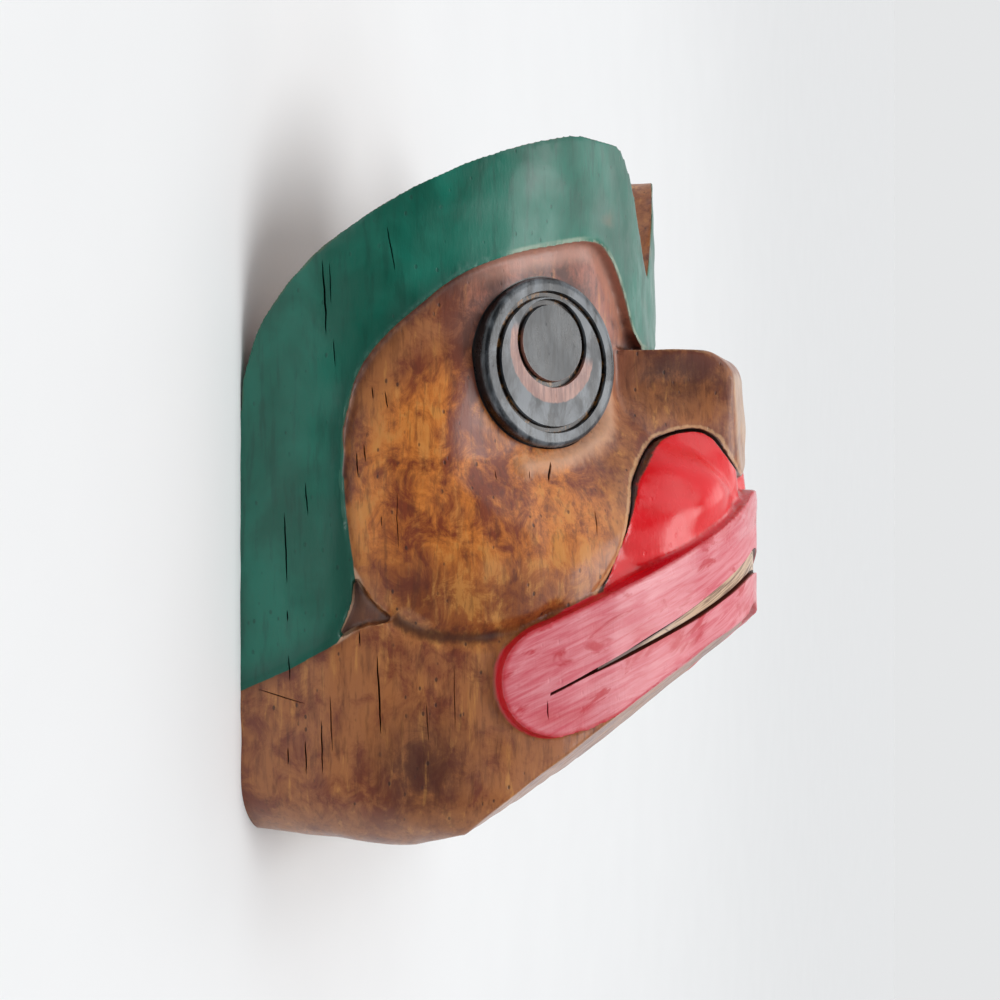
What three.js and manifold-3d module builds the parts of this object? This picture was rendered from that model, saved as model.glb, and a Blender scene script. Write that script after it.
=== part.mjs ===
// Carved wooden frog mask: one shell cut from one block, lying on its back rim with the face up.
// Millimetres. X runs across the face, Y from the chin to the crown, Z from the rim to the face.
// The surface is worked out round an upright axis in the middle of the rim plane. An angle of 0 is
// straight ahead and 90 degrees is the side of the head. Heights are measured along Y from the level
// of the cheeks, and the finished mask is moved so that its middle is over the origin.

import * as THREE from 'three';
import { mergeVertices } from 'three/addons/utils/BufferGeometryUtils.js';
import Module from 'manifold-3d';

const wasm = await Module();
wasm.setup();

// Driving dimensions of the block
const HALF_WIDTH = 110;
const CROWN_TOP = 118.6;
const CHIN_BOTTOM = -109.2;
const HEAD_FRONT = 110;
const HEAD_POWER = 2.35;
const FOREHEAD_START = 45;
const FOREHEAD_LEAN = 0.02;
const MOUTH_FRONT = 142;
const MOUTH_POWER = 2;
const BOTTOM_ROUND = 20;

// Side profile: the curved slope from the rim up to the crown, the straight chin and the underside
const RIM_TOP = 28;
const CROWN_RISE = 95.2;
const CROWN_RUN = 108;
const CROWN_POWER = 0.45;
const CHIN_FRONT = 86.8;
const CHIN_HEIGHT = -88.2;
const CHIN_SLOPE = 1.23;
const UNDERSIDE = [
  [-6, -104.8], [6, -105.3], [26, -107], [38, -108.3], [48, -109.2], [58, -107.2], [66, -104.6],
];

// Notch between the two lobes of the crown
const NOTCH_BOTTOM = 79;
const NOTCH_SLOPE = 1.45;
const NOTCH_TIP = 2;
const LOBE_ROUND = 12;
const NOTCH_HALF_WIDTH = 46;

// Face, lower than the headband by the socket's drop and swelling out to the mouth
const SOCKET_DROP = 4;
const JAW_DROP = 0.3;
const SWELL_RUN = 46;
const SWELL_TOP_FRONT = 46;
const SWELL_TOP_SIDE = 16;
const SWELL_FRONT_ANGLE = 12;
const SWELL_SIDE_ANGLE = 42;

// Cheek ball, in degrees round the head and millimetres
const CHEEK_ANGLE = 52;
const CHEEK_HEIGHT = 0;
const CHEEK_RADIUS = 47;
const CHEEK_RISE = 4;
const ARC_PER_DEGREE = 2.06;

// Shallow hollow between the cheek ball and the eye
const SOCKET_ANGLE = 46;
const SOCKET_HEIGHT = 20;
const SOCKET_RADIUS = 26;
const SOCKET_DEPTH = 3.5;

// Headband's lower edge: up from the rim, round the cheek, over the eye and down the bridge of the nose
const BAND_AT_RIM = [[100, -68], [90, -58.2], [82, -51.5], [74.3, -43.2]];
const BAND_ROUND_EYE = [
  [74.3, -43.2], [71.5, -30], [73.4, 8], [70.4, 39.8], [58.1, 64.7], [48, 75],
  [36.8, 81], [27, 84], [22.2, 80], [17.4, 70.5], [12, 57.5], [6, 52.4],
];
const BRIDGE_HEIGHT = 52;
const BAND_BOTTOM = -62;
const BAND_OPENING_BOTTOM = -80;

// Three-sided hollow where the headband, the cheek and the jaw meet
const HOLLOW_CORNERS = [[71.7, -21.5], [64.7, -37.1], [74.3, -43.2]];
const HOLLOW_SIDES = [[68.6, -31], [70, -38.6], [71.6, -31.5]];
const HOLLOW_DEPTH = 3.5;
const HOLLOW_ANGLES = [60, 80];
const HOLLOW_HEIGHTS = [-50, -15];

// Snout
const SNOUT_TOP = 51.2;
const SNOUT_BOTTOM = -12;
const SNOUT_FRONT = 143.4;
const SNOUT_LEAN = 0.04;
const SNOUT_NOSE_ROUND = 11;
const SNOUT_HALF_WIDTH = 13;
const SNOUT_TOP_FLARE = 0.45;
const SNOUT_FLARE_GAIN = 0.75;
const SNOUT_FLARE_START = 42;
const SNOUT_FLARE_RUN = 45;
const SNOUT_ARRIS_ROUND = 3;
const SNOUT_LIMIT = 144.5;
const SNOUT_END_ANGLE = 34;

// Nostril flap: a rounded swelling sunk below the cheek and the snout
const FLAP_EDGE = [
  [36.5, -34], [34.2, -28.6], [31.2, -19], [28.4, -6.4], [24.8, 6.5], [19, 16.5], [14.5, 21.2],
  [10.1, 23.7], [8, 21.6], [6.5, 15.5], [4.8, 11], [1, 8], [-3, 7], [-3, -6],
];
const FLAP_SINK = 3.5;
const FLAP_RISE = 7;
const FLAP_CENTRE = [16, 0];
const FLAP_REACH = 32;
const FLAP_ANGLES = [-6, 42];
const FLAP_HEIGHTS = [-42, 30];

// Lips, drooping from the middle to a round end at each side
const LIP_HALF_WIDTH = 114;
const LIP_FRONT = 147.3;
const LIP_TOP = 4;
const LIP_BOTTOM = -35.8;
const LIP_FALL = 0.985;
const LIP_BEND = 0.8;
const LIP_END_ANGLE = 42.2;
const LIP_END_RADIUS = 17.8;
const LIP_ARC_PER_DEGREE = 2.2;
const LIP_LEAN = 24;
const LIP_STRAIGHT_ANGLE = 40;
const LIP_BLOCK_ANGLE = 54;
const LIP_BLOCK_HEIGHTS = [-84, 9];

// Slit between the lips, with the tongue strip standing in it
const SLIT_LEVEL = -15.2;
const SLIT_FALL = 1.027;
const SLIT_BEND = 5.6;
const SLIT_END_ANGLE = 43.3;
const SLIT_HALF_GAP = 4.4;
const SLIT_DEPTH = 14;
const SLIT_HEIGHTS = [-70, -8];
const SLIT_THIN_GAP = 0.25;
const TONGUE_END_ANGLE = 30;
const TONGUE_CLEARANCE = 1.3;
const TONGUE_SINK = 1.5;

// Eye: a thick disc with a ring groove, and a pupil cut out by a second groove
const EYE_PLACE = [70, 44, 90.4];
const EYE_TURN = 52;
const EYE_TILT = 2;
const EYE_RADIUS = 27.3;
const EYE_THICKNESS = 20;
const EYE_GROOVE = [20.6, 22.8];
const PUPIL_GROOVE = [12.1, 14.3];
const PUPIL_RISE = 6;
const GROOVE_DEPTH = 2;
const EYE_BEVEL = 1.5;
const GROOVE_LEAN = 0.3;
const EYE_FACETS = 34;

// Hollow back
const WALL = 15;
const HOLLOW_FRONT = 116;
const HOLLOW_BOTTOM = -90;
const HOLLOW_ROUND = 22;
const BACK_ANGLE = 104;
const CHIN_WALL = 24;
const HOLLOW_START_TURN = 12;
const LEAST_COSINE = 0.05;
const CHIN_CUT_HEIGHTS = [-130, -30];

// Fineness of the carved surfaces
const HEAD_COLUMNS = 48;
const HEAD_ROWS = 19;
const BAND_ROWS = 8;
const ROUND_ROWS = 5;
const HOLLOW_ROUND_ROWS = 4;
const BAND_EDGE_POINTS = 32;
const BAND_LOWER_STEPS = 5;
const SNOUT_GRID = [22, 5, 4];
const FLAP_GRID = [12, 9];
const FLAP_EDGE_POINTS = 36;
const LIP_GRID = [44, 5];
const LIP_EDGE_STEPS = 11;
const LIP_END_STEPS = 12;
const SLIT_COLUMNS = 28;
const TONGUE_COLUMNS = 24;
const SLIT_EDGE_STEPS = 9;
const HOLLOW_SIDE_STEPS = 5;
const BACK_GRID = [34, 13];
const SLOPE_STEPS = 26;
const NOTCH_STEPS = 28;

// How far the cutters run past the middle, past the outside and down into the wood
const PAST_MIDDLE_ANGLE = 4;
const PAST_END_ANGLE = 3;
const PAST_TOP = 20;
const CUT_REACH = 170;
const CORE_RADIUS = 60;
const FLAP_CORE_RADIUS = 58;
const FAR_RADIUS = 420;
const MERGE_DISTANCE = 1e-4;
const CUTTER_RINGS = [CORE_RADIUS, 96, 108, 120, 132, 144, 156, FAR_RADIUS];

const radians = (degrees) => degrees * Math.PI / 180;
const mix = (from, to, share) => from + (to - from) * share;

function smoothStep(value) {
  const share = Math.min(1, Math.max(0, value));
  return share * share * (3 - 2 * share);
}

function smoothMin(first, second, blend) {
  const share = Math.min(1, Math.max(0, 0.5 + 0.5 * (second - first) / blend));
  return mix(second, first, share) - blend * share * (1 - share);
}

function steps(from, to, count) {
  return Array.from({ length: count + 1 }, (_, index) => mix(from, to, index / count));
}

// Radius of an oval section in the direction of an angle in degrees
function ovalRadius(angle, halfWidth, front, power) {
  const across = Math.abs(Math.sin(radians(angle))) / halfWidth;
  const ahead = Math.abs(Math.cos(radians(angle))) / front;
  return (across ** power + ahead ** power) ** (-1 / power);
}

// How far the forehead leans back above the brow
const foreheadLean = (height) => FOREHEAD_LEAN * Math.max(0, height - FOREHEAD_START);

function headRadius(angle, height) {
  return ovalRadius(angle, HALF_WIDTH, HEAD_FRONT, HEAD_POWER) - foreheadLean(height);
}

// How far the face has swelled out to the mouth: the swelling starts lower towards the side
function swell(angle, height) {
  const aside = (Math.abs(angle) - SWELL_FRONT_ANGLE) / (SWELL_SIDE_ANGLE - SWELL_FRONT_ANGLE);
  const top = mix(SWELL_TOP_FRONT, SWELL_TOP_SIDE, Math.min(1, Math.max(0, aside)));
  return smoothStep((top - height) / SWELL_RUN);
}

// Distance from the middle of the cheek ball or of the hollow above it, as a share of its radius
function shareOfRadius(angle, height, middleAngle, middleHeight, radius) {
  const around = (Math.abs(angle) - middleAngle) * ARC_PER_DEGREE;
  return Math.min(1, Math.hypot(around, height - middleHeight) / radius);
}

function cheekRise(angle, height) {
  const fromBall = shareOfRadius(angle, height, CHEEK_ANGLE, CHEEK_HEIGHT, CHEEK_RADIUS);
  const fromHollow = shareOfRadius(angle, height, SOCKET_ANGLE, SOCKET_HEIGHT, SOCKET_RADIUS);
  return CHEEK_RISE * (1 - fromBall ** 2) - SOCKET_DEPTH * (1 - fromHollow ** 2) ** 2;
}

function faceRadius(angle, height) {
  const share = swell(angle, height);
  const halfWidth = HALF_WIDTH - mix(SOCKET_DROP, JAW_DROP, share);
  const front = mix(HEAD_FRONT - SOCKET_DROP, MOUTH_FRONT, share);
  const oval = ovalRadius(angle, halfWidth, front, mix(HEAD_POWER, MOUTH_POWER, share));
  return oval + cheekRise(angle, height) - foreheadLean(height);
}

// How far a rounded edge falls back: not at all at its start, by its whole size at its end
function roundOff(share, round) {
  const turned = Math.min(1, Math.max(0, share));
  return round * (1 - Math.sqrt(1 - turned ** 2));
}

const drawIn = (height, bottom, round) => roundOff((bottom + round - height) / round, round);

// The underside as far as its lowest place. The rounding of the bottom follows it, and runs on level
// where the underside rises again.
const fallingUnderside = UNDERSIDE.filter(([, height], index) =>
  index === 0 || height < UNDERSIDE[index - 1][1]);

function undersideAt(forward) {
  const index = fallingUnderside.findIndex(([place]) => place > forward);
  if (index <= 0) return fallingUnderside.at(index)[1];
  const [from, to] = [fallingUnderside[index - 1], fallingUnderside[index]];
  return mix(from[1], to[1], (forward - from[0]) / (to[0] - from[0]));
}

function snoutRadius(angle, height) {
  const flare = SNOUT_TOP_FLARE
    + SNOUT_FLARE_GAIN * smoothStep((SNOUT_FLARE_START - height) / SNOUT_FLARE_RUN);
  const turned = radians(Math.abs(angle));
  const side = (SNOUT_HALF_WIDTH + SNOUT_FRONT * flare) / (Math.sin(turned) + flare * Math.cos(turned));
  const nose = roundOff((height - SNOUT_TOP) / SNOUT_NOSE_ROUND + 1, SNOUT_NOSE_ROUND);
  const front = (SNOUT_FRONT - SNOUT_LEAN * Math.max(0, height) - nose) / Math.cos(turned);
  const limit = ovalRadius(angle, HALF_WIDTH, SNOUT_LIMIT, MOUTH_POWER);
  return Math.min(smoothMin(side, front, SNOUT_ARRIS_ROUND), limit);
}

function flapRadius(angle, height) {
  const around = (Math.abs(angle) - FLAP_CENTRE[0]) * ARC_PER_DEGREE;
  const distance = Math.min(1, Math.hypot(around, height - FLAP_CENTRE[1]) / FLAP_REACH);
  const face = Math.max(faceRadius(angle, height), snoutRadius(angle, height));
  return face - FLAP_SINK + FLAP_RISE * (1 - distance ** 2);
}

const lipRadius = (angle) => ovalRadius(angle, LIP_HALF_WIDTH, LIP_FRONT, MOUTH_POWER);

// Solids are made from indexed corners, or from a closed geometry of three.js
function solidFromMesh(corners, triangles) {
  return new wasm.Manifold(new wasm.Mesh({
    numProp: 3,
    vertProperties: new Float32Array(corners),
    triVerts: new Uint32Array(triangles),
  }));
}

function solidFromGeometry(geometry) {
  geometry.deleteAttribute('normal');
  geometry.deleteAttribute('uv');
  const merged = mergeVertices(geometry, MERGE_DISTANCE);
  return solidFromMesh(merged.attributes.position.array, merged.index.array);
}

// A point at an angle, a height and a radius; side is 1 or -1 and mirrors it across the face
function pointAt(angle, height, radius, side = 1) {
  return [side * radius * Math.sin(radians(angle)), height, radius * Math.cos(radians(angle))];
}

// Faces of a grid of corners, turned over when the grid is mirrored
function gridFaces(columns, rows, start, outward) {
  const triangles = [];
  for (let row = 0; row < rows; row += 1) {
    for (let column = 0; column < columns; column += 1) {
      const corner = start + row * (columns + 1) + column;
      const above = corner + columns + 1;
      const faces = outward
        ? [corner, corner + 1, above + 1, corner, above + 1, above]
        : [corner, above + 1, corner + 1, corner, above, above + 1];
      triangles.push(...faces);
    }
  }
  return triangles;
}

// The whole head as rows of points from one side of the rim to the other, closed across the back
function halfBody(radius, angles, heights) {
  const columns = angles.length - 1;
  const rows = heights.length - 1;
  const corners = heights.flatMap((height) =>
    angles.flatMap((angle) => pointAt(angle, height, radius(angle, height))));
  const triangles = gridFaces(columns, rows, 0, true);
  for (let row = 0; row < rows; row += 1) {
    const first = row * (columns + 1);
    const last = first + columns;
    const above = first + columns + 1;
    triangles.push(last, first, above, last, above, above + columns);
  }
  const top = rows * (columns + 1);
  for (let column = 1; column < columns; column += 1) {
    triangles.push(0, column + 1, column);
    triangles.push(top, top + column, top + column + 1);
  }
  return solidFromMesh(corners, triangles);
}

// A block between two radii over a patch of angles and heights
function radialBlock(outer, inner, angles, heights, side = 1) {
  const columns = angles.length - 1;
  const rows = heights.length - 1;
  const layer = (radius) => heights.flatMap((height) =>
    angles.flatMap((angle) => pointAt(angle, height, radius(angle, height), side)));
  const corners = [...layer(outer), ...layer(inner)];
  const inside = (columns + 1) * (rows + 1);
  const outward = side > 0;
  const triangles = [
    ...gridFaces(columns, rows, 0, outward),
    ...gridFaces(columns, rows, inside, !outward),
  ];
  const edge = [];
  for (let column = 0; column < columns; column += 1) edge.push(column);
  for (let row = 0; row < rows; row += 1) edge.push(row * (columns + 1) + columns);
  for (let column = columns; column > 0; column -= 1) edge.push(rows * (columns + 1) + column);
  for (let row = rows; row > 0; row -= 1) edge.push(row * (columns + 1));
  edge.forEach((from, index) => {
    const to = edge[(index + 1) % edge.length];
    const faces = outward
      ? [from, from + inside, to, to, from + inside, to + inside]
      : [from, to, from + inside, to, to + inside, from + inside];
    triangles.push(...faces);
  });
  return solidFromMesh(corners, triangles);
}

// A cutter whose outline is given in degrees and millimetres, reaching from the core outwards.
// Its walls have a ring of corners every few millimetres, so they stay square to the surface.
function radialCutter(outline, side) {
  const flat = outline.map(([angle, height]) => new THREE.Vector2(angle, height));
  if (THREE.ShapeUtils.area(flat) < 0) flat.reverse();
  const count = flat.length;
  const corners = CUTTER_RINGS.flatMap((radius) =>
    flat.flatMap((point) => pointAt(point.x, point.y, radius, side)));
  const last = (CUTTER_RINGS.length - 1) * count;
  const triangles = [];
  const push = (a, b, c) => triangles.push(...(side > 0 ? [a, b, c] : [a, c, b]));
  THREE.ShapeUtils.triangulateShape(flat, []).forEach(([a, b, c]) => {
    push(a, c, b);
    push(a + last, b + last, c + last);
  });
  for (let ring = 0; ring < last; ring += count) {
    for (let index = 0; index < count; index += 1) {
      const from = ring + index;
      const to = ring + (index + 1) % count;
      push(from, to, from + count);
      push(to, to + count, from + count);
    }
  }
  return solidFromMesh(corners, triangles);
}

const bothSides = (make) => make(1).add(make(-1));

// A smooth line through points, in the plane of angle and height
function smoothLine(points, count) {
  return new THREE.SplineCurve(points.map(([x, y]) => new THREE.Vector2(x, y)))
    .getPoints(count)
    .map((point) => [point.x, point.y]);
}

// A prism whose outline lies in the side view (Z forward, Y up) and that runs across the mask
function crossPrism(outline) {
  const shape = new THREE.Shape(outline.map(([forward, height]) => new THREE.Vector2(forward, height)));
  const geometry = new THREE.ExtrudeGeometry(shape, { depth: 2 * CUT_REACH, bevelEnabled: false });
  const toSide = new THREE.Matrix4().makeBasis(
    new THREE.Vector3(0, 0, 1), new THREE.Vector3(0, 1, 0), new THREE.Vector3(-1, 0, 0),
  );
  return solidFromGeometry(geometry.applyMatrix4(toSide).translate(CUT_REACH, 0, 0));
}

// Everything over the slope that rises from the rim, steeply at first, and levels off at the crown
function overCrown() {
  const slope = steps(0, 1, SLOPE_STEPS).map((share) =>
    [CROWN_RUN * share ** 2, RIM_TOP + CROWN_RISE * share ** (2 * CROWN_POWER)]);
  const behind = -PAST_TOP;
  return crossPrism([[behind, 0], ...slope, [CROWN_RUN, CUT_REACH], [behind, CUT_REACH]]);
}

// Everything in front of the chin's straight slope
function underChin() {
  const chinAt = (height) => CHIN_FRONT + (height - CHIN_HEIGHT) * CHIN_SLOPE;
  const [low, high] = CHIN_CUT_HEIGHTS;
  return crossPrism([[chinAt(low), low], [CUT_REACH, low], [CUT_REACH, high], [chinAt(high), high]]);
}

// Everything below the underside
function underside() {
  const [behind, before] = [UNDERSIDE[0], UNDERSIDE.at(-1)].map(([forward]) => forward);
  const low = CHIN_BOTTOM - PAST_TOP;
  return crossPrism([...UNDERSIDE, [before, low], [behind, low]]);
}

// The notch is cut from the front through the wall only
function notch() {
  const valley = steps(-NOTCH_HALF_WIDTH, NOTCH_HALF_WIDTH, NOTCH_STEPS).map((across) => {
    const side = NOTCH_BOTTOM + NOTCH_SLOPE * (Math.hypot(across, NOTCH_TIP) - NOTCH_TIP);
    return new THREE.Vector2(across, smoothMin(side, CROWN_TOP, LOBE_ROUND));
  });
  const top = [NOTCH_HALF_WIDTH, -NOTCH_HALF_WIDTH].map((across) =>
    new THREE.Vector2(across, CROWN_TOP + PAST_TOP));
  const shape = new THREE.Shape([...valley, ...top]);
  const geometry = new THREE.ExtrudeGeometry(shape, { depth: CUT_REACH, bevelEnabled: false });
  return solidFromGeometry(geometry.translate(0, 0, CORE_RADIUS));
}

const headAngles = steps(-90, 90, HEAD_COLUMNS);

function face() {
  const radius = (angle, height) => {
    const full = faceRadius(angle, height);
    return full - drawIn(height, undersideAt(full * Math.cos(radians(angle))), BOTTOM_ROUND);
  };
  const roundTop = UNDERSIDE[0][1] + BOTTOM_ROUND;
  const rounded = steps(0, 90, ROUND_ROWS).map((turn) =>
    mix(roundTop, CHIN_BOTTOM, Math.cos(radians(turn))));
  const plain = steps(roundTop, CROWN_TOP, HEAD_ROWS).slice(1);
  return halfBody(radius, headAngles, [...rounded, ...plain]);
}

function headband() {
  const whole = halfBody(headRadius, headAngles, steps(BAND_BOTTOM, CROWN_TOP, BAND_ROWS));
  const lower = steps(-PAST_MIDDLE_ANGLE, BAND_AT_RIM[0][0], BAND_LOWER_STEPS)
    .map((angle) => [angle, BAND_OPENING_BOTTOM]);
  const opening = [
    ...lower,
    ...BAND_AT_RIM,
    ...smoothLine(BAND_ROUND_EYE, BAND_EDGE_POINTS).slice(1),
    [-PAST_MIDDLE_ANGLE, BRIDGE_HEIGHT],
  ];
  return whole.subtract(bothSides((side) => radialCutter(opening, side)));
}

function snout() {
  const angles = steps(-SNOUT_END_ANGLE, SNOUT_END_ANGLE, SNOUT_GRID[0]);
  const straight = steps(SNOUT_BOTTOM, SNOUT_TOP - SNOUT_NOSE_ROUND, SNOUT_GRID[1]);
  const rounded = steps(0, 90, SNOUT_GRID[2]).slice(1).map((turn) =>
    SNOUT_TOP - SNOUT_NOSE_ROUND * (1 - Math.sin(radians(turn))));
  return radialBlock(snoutRadius, () => CORE_RADIUS, angles, [...straight, ...rounded]);
}

// What the nostril flap's outline takes away, and the swelling left inside it
function flapCutter(side) {
  return radialCutter(smoothLine([...FLAP_EDGE, FLAP_EDGE[0]], FLAP_EDGE_POINTS).slice(0, -1), side);
}

function flapCore(side) {
  const angles = steps(...FLAP_ANGLES, FLAP_GRID[0]);
  const heights = steps(...FLAP_HEIGHTS, FLAP_GRID[1]);
  return radialBlock(flapRadius, () => FLAP_CORE_RADIUS, angles, heights, side);
}

function lipEdge(level, angle) {
  return level - LIP_FALL * (Math.hypot(angle, LIP_BEND) - LIP_BEND);
}

function lipOutline() {
  const middle = (LIP_TOP + LIP_BOTTOM) / 2;
  const endHeight = lipEdge(middle + LIP_BEND, LIP_END_ANGLE);
  const end = steps(90 - LIP_LEAN, -90 - LIP_LEAN, LIP_END_STEPS).map((turn) => [
    LIP_END_ANGLE + LIP_END_RADIUS * Math.cos(radians(turn)) / LIP_ARC_PER_DEGREE,
    endHeight + LIP_END_RADIUS * Math.sin(radians(turn)),
  ]);
  const along = steps(-PAST_MIDDLE_ANGLE, LIP_STRAIGHT_ANGLE, LIP_EDGE_STEPS);
  const top = along.map((angle) => [angle, lipEdge(LIP_TOP, angle)]);
  const bottom = along.map((angle) => [angle, lipEdge(LIP_BOTTOM, angle)]).slice(0, -1).reverse();
  return [...top, ...end, ...bottom];
}

function lips() {
  const angles = steps(-LIP_BLOCK_ANGLE, LIP_BLOCK_ANGLE, LIP_GRID[0]);
  const block = radialBlock(lipRadius, () => CORE_RADIUS, angles, steps(...LIP_BLOCK_HEIGHTS, LIP_GRID[1]));
  return block.intersect(bothSides((side) => radialCutter(lipOutline(), side)));
}

// A band along the slit, from the middle to an end angle, thinning to nothing at the slit's end
function slitBand(endAngle, clearance) {
  const angles = steps(-PAST_MIDDLE_ANGLE, endAngle, SLIT_EDGE_STEPS);
  const level = (angle) => SLIT_LEVEL - SLIT_FALL * Math.hypot(angle, SLIT_BEND);
  const gap = (angle) =>
    Math.max(SLIT_THIN_GAP, SLIT_HALF_GAP * (1 - Math.abs(angle) / SLIT_END_ANGLE) - clearance);
  const upper = angles.map((angle) => [angle, level(angle) + gap(angle)]);
  const lower = angles.map((angle) => [angle, level(angle) - gap(angle)]).reverse();
  return [...upper, ...lower];
}

function slit() {
  const angles = steps(-SLIT_END_ANGLE - PAST_END_ANGLE, SLIT_END_ANGLE + PAST_END_ANGLE, SLIT_COLUMNS);
  const floor = (angle) => lipRadius(angle) - SLIT_DEPTH;
  const reach = radialBlock(() => CUT_REACH, floor, angles, SLIT_HEIGHTS);
  return reach.intersect(bothSides((side) => radialCutter(slitBand(SLIT_END_ANGLE, 0), side)));
}

function tongue() {
  const angles = steps(-TONGUE_END_ANGLE - PAST_END_ANGLE, TONGUE_END_ANGLE + PAST_END_ANGLE, TONGUE_COLUMNS);
  const top = (angle) => lipRadius(angle) - TONGUE_SINK;
  const strip = radialBlock(top, () => CORE_RADIUS, angles, SLIT_HEIGHTS);
  const outline = slitBand(TONGUE_END_ANGLE, TONGUE_CLEARANCE);
  return strip.intersect(bothSides((side) => radialCutter(outline, side)));
}

function threeSidedHollow(side) {
  const outline = HOLLOW_CORNERS.flatMap((corner, index) => {
    const next = HOLLOW_CORNERS[(index + 1) % HOLLOW_CORNERS.length];
    return smoothLine([corner, HOLLOW_SIDES[index], next], HOLLOW_SIDE_STEPS).slice(0, -1);
  });
  const floor = (angle, height) => faceRadius(angle, height) - HOLLOW_DEPTH;
  const angles = steps(...HOLLOW_ANGLES, HOLLOW_SIDE_STEPS);
  const heights = steps(...HOLLOW_HEIGHTS, HOLLOW_SIDE_STEPS);
  const open = radialBlock(() => CUT_REACH, floor, angles, heights, side);
  return open.intersect(radialCutter(outline, side));
}

// Turns a shape made round the Y axis to face out of the eye socket, and moves it there
function placeEye(profile, side, up = 0) {
  const points = profile.map(([radius, height]) => new THREE.Vector2(radius, height));
  const geometry = new THREE.LatheGeometry(points, EYE_FACETS);
  geometry.translate(0, 0, -up);
  geometry.rotateX(Math.PI / 2 + radians(-EYE_TILT));
  geometry.rotateY(side * radians(90 - EYE_TURN));
  const [across, height, forward] = EYE_PLACE;
  geometry.translate(side * across, height, forward);
  return solidFromGeometry(geometry);
}

function eyeDisc(side) {
  const [inner, outer] = EYE_GROOVE;
  return placeEye([
    [0, -EYE_THICKNESS],
    [EYE_RADIUS, -EYE_THICKNESS],
    [EYE_RADIUS, -EYE_BEVEL],
    [EYE_RADIUS - EYE_BEVEL, 0],
    [outer, 0],
    [outer - GROOVE_LEAN, -GROOVE_DEPTH],
    [inner + GROOVE_LEAN, -GROOVE_DEPTH],
    [inner, 0],
    [0, 0],
  ], side);
}

function pupilGroove(side) {
  const [inner, outer] = PUPIL_GROOVE;
  const bottom = [[inner, -GROOVE_DEPTH], [outer, -GROOVE_DEPTH]];
  const profile = [...bottom, [outer, GROOVE_DEPTH], [inner, GROOVE_DEPTH], bottom[0]];
  return placeEye(profile, side, PUPIL_RISE);
}

function hollowBack() {
  const radius = (angle, height) => {
    const share = swell(angle, height);
    const shell = ovalRadius(
      angle, HALF_WIDTH - WALL, mix(HEAD_FRONT - SOCKET_DROP - WALL, HOLLOW_FRONT, share),
      mix(HEAD_POWER, MOUTH_POWER, share),
    );
    const chin = CHIN_FRONT + (height - CHIN_HEIGHT) * CHIN_SLOPE - CHIN_WALL;
    const beforeChin = chin / Math.max(LEAST_COSINE, Math.cos(radians(angle)));
    return Math.min(shell, beforeChin) - drawIn(height, HOLLOW_BOTTOM, HOLLOW_ROUND);
  };
  const rounded = steps(HOLLOW_START_TURN, 90, HOLLOW_ROUND_ROWS).map((turn) =>
    HOLLOW_BOTTOM + HOLLOW_ROUND * (1 - Math.cos(radians(turn))));
  const plain = steps(HOLLOW_BOTTOM + HOLLOW_ROUND, CROWN_TOP + PAST_TOP, BACK_GRID[1]).slice(1);
  return halfBody(radius, steps(-BACK_ANGLE, BACK_ANGLE, BACK_GRID[0]), [...rounded, ...plain]);
}

function maskSolid() {
  const open = bothSides((side) => flapCutter(side).subtract(flapCore(side)));
  const swelling = bothSides((side) => flapCutter(side).intersect(flapCore(side)));
  return face()
    .add(headband())
    .add(snout())
    .subtract(bothSides(threeSidedHollow))
    .subtract(open)
    .add(swelling)
    .add(lips())
    .subtract(slit())
    .add(tongue())
    .subtract(underChin())
    .subtract(underside())
    .add(bothSides(eyeDisc))
    .subtract(bothSides(pupilGroove))
    .subtract(overCrown())
    .subtract(notch())
    .subtract(hollowBack());
}

function geometryFromSolid(solid) {
  const mesh = solid.getMesh();
  const geometry = new THREE.BufferGeometry();
  geometry.setAttribute('position', new THREE.BufferAttribute(new Float32Array(mesh.vertProperties), 3));
  geometry.setIndex(new THREE.BufferAttribute(new Uint32Array(mesh.triVerts), 1));
  return geometry;
}

const stainedWood = new THREE.MeshStandardMaterial({ color: 0x8a5a30, roughness: 0.4, metalness: 0 });
const mask = new THREE.Mesh(geometryFromSolid(maskSolid()), stainedWood);
mask.name = 'mask';
mask.position.y = -(CROWN_TOP + CHIN_BOTTOM) / 2;

const part = new THREE.Group();
part.add(mask);

export default part;
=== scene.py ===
# Carved and painted wooden frog mask, lying on its back rim with the face up.
# Shapes are worked out in millimetres round an upright axis in the middle of the rim plane: an angle
# of 0 is straight ahead and 90 degrees is the side of the head, and heights run along Y from the
# level of the cheeks. The finished pieces are in metres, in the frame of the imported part.

import math
from functools import partial

import bmesh
import bpy
import numpy as np
from mathutils import Matrix, Vector
from mathutils.bvhtree import BVHTree
from mathutils.geometry import tessellate_polygon
from mathutils.kdtree import KDTree


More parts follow.
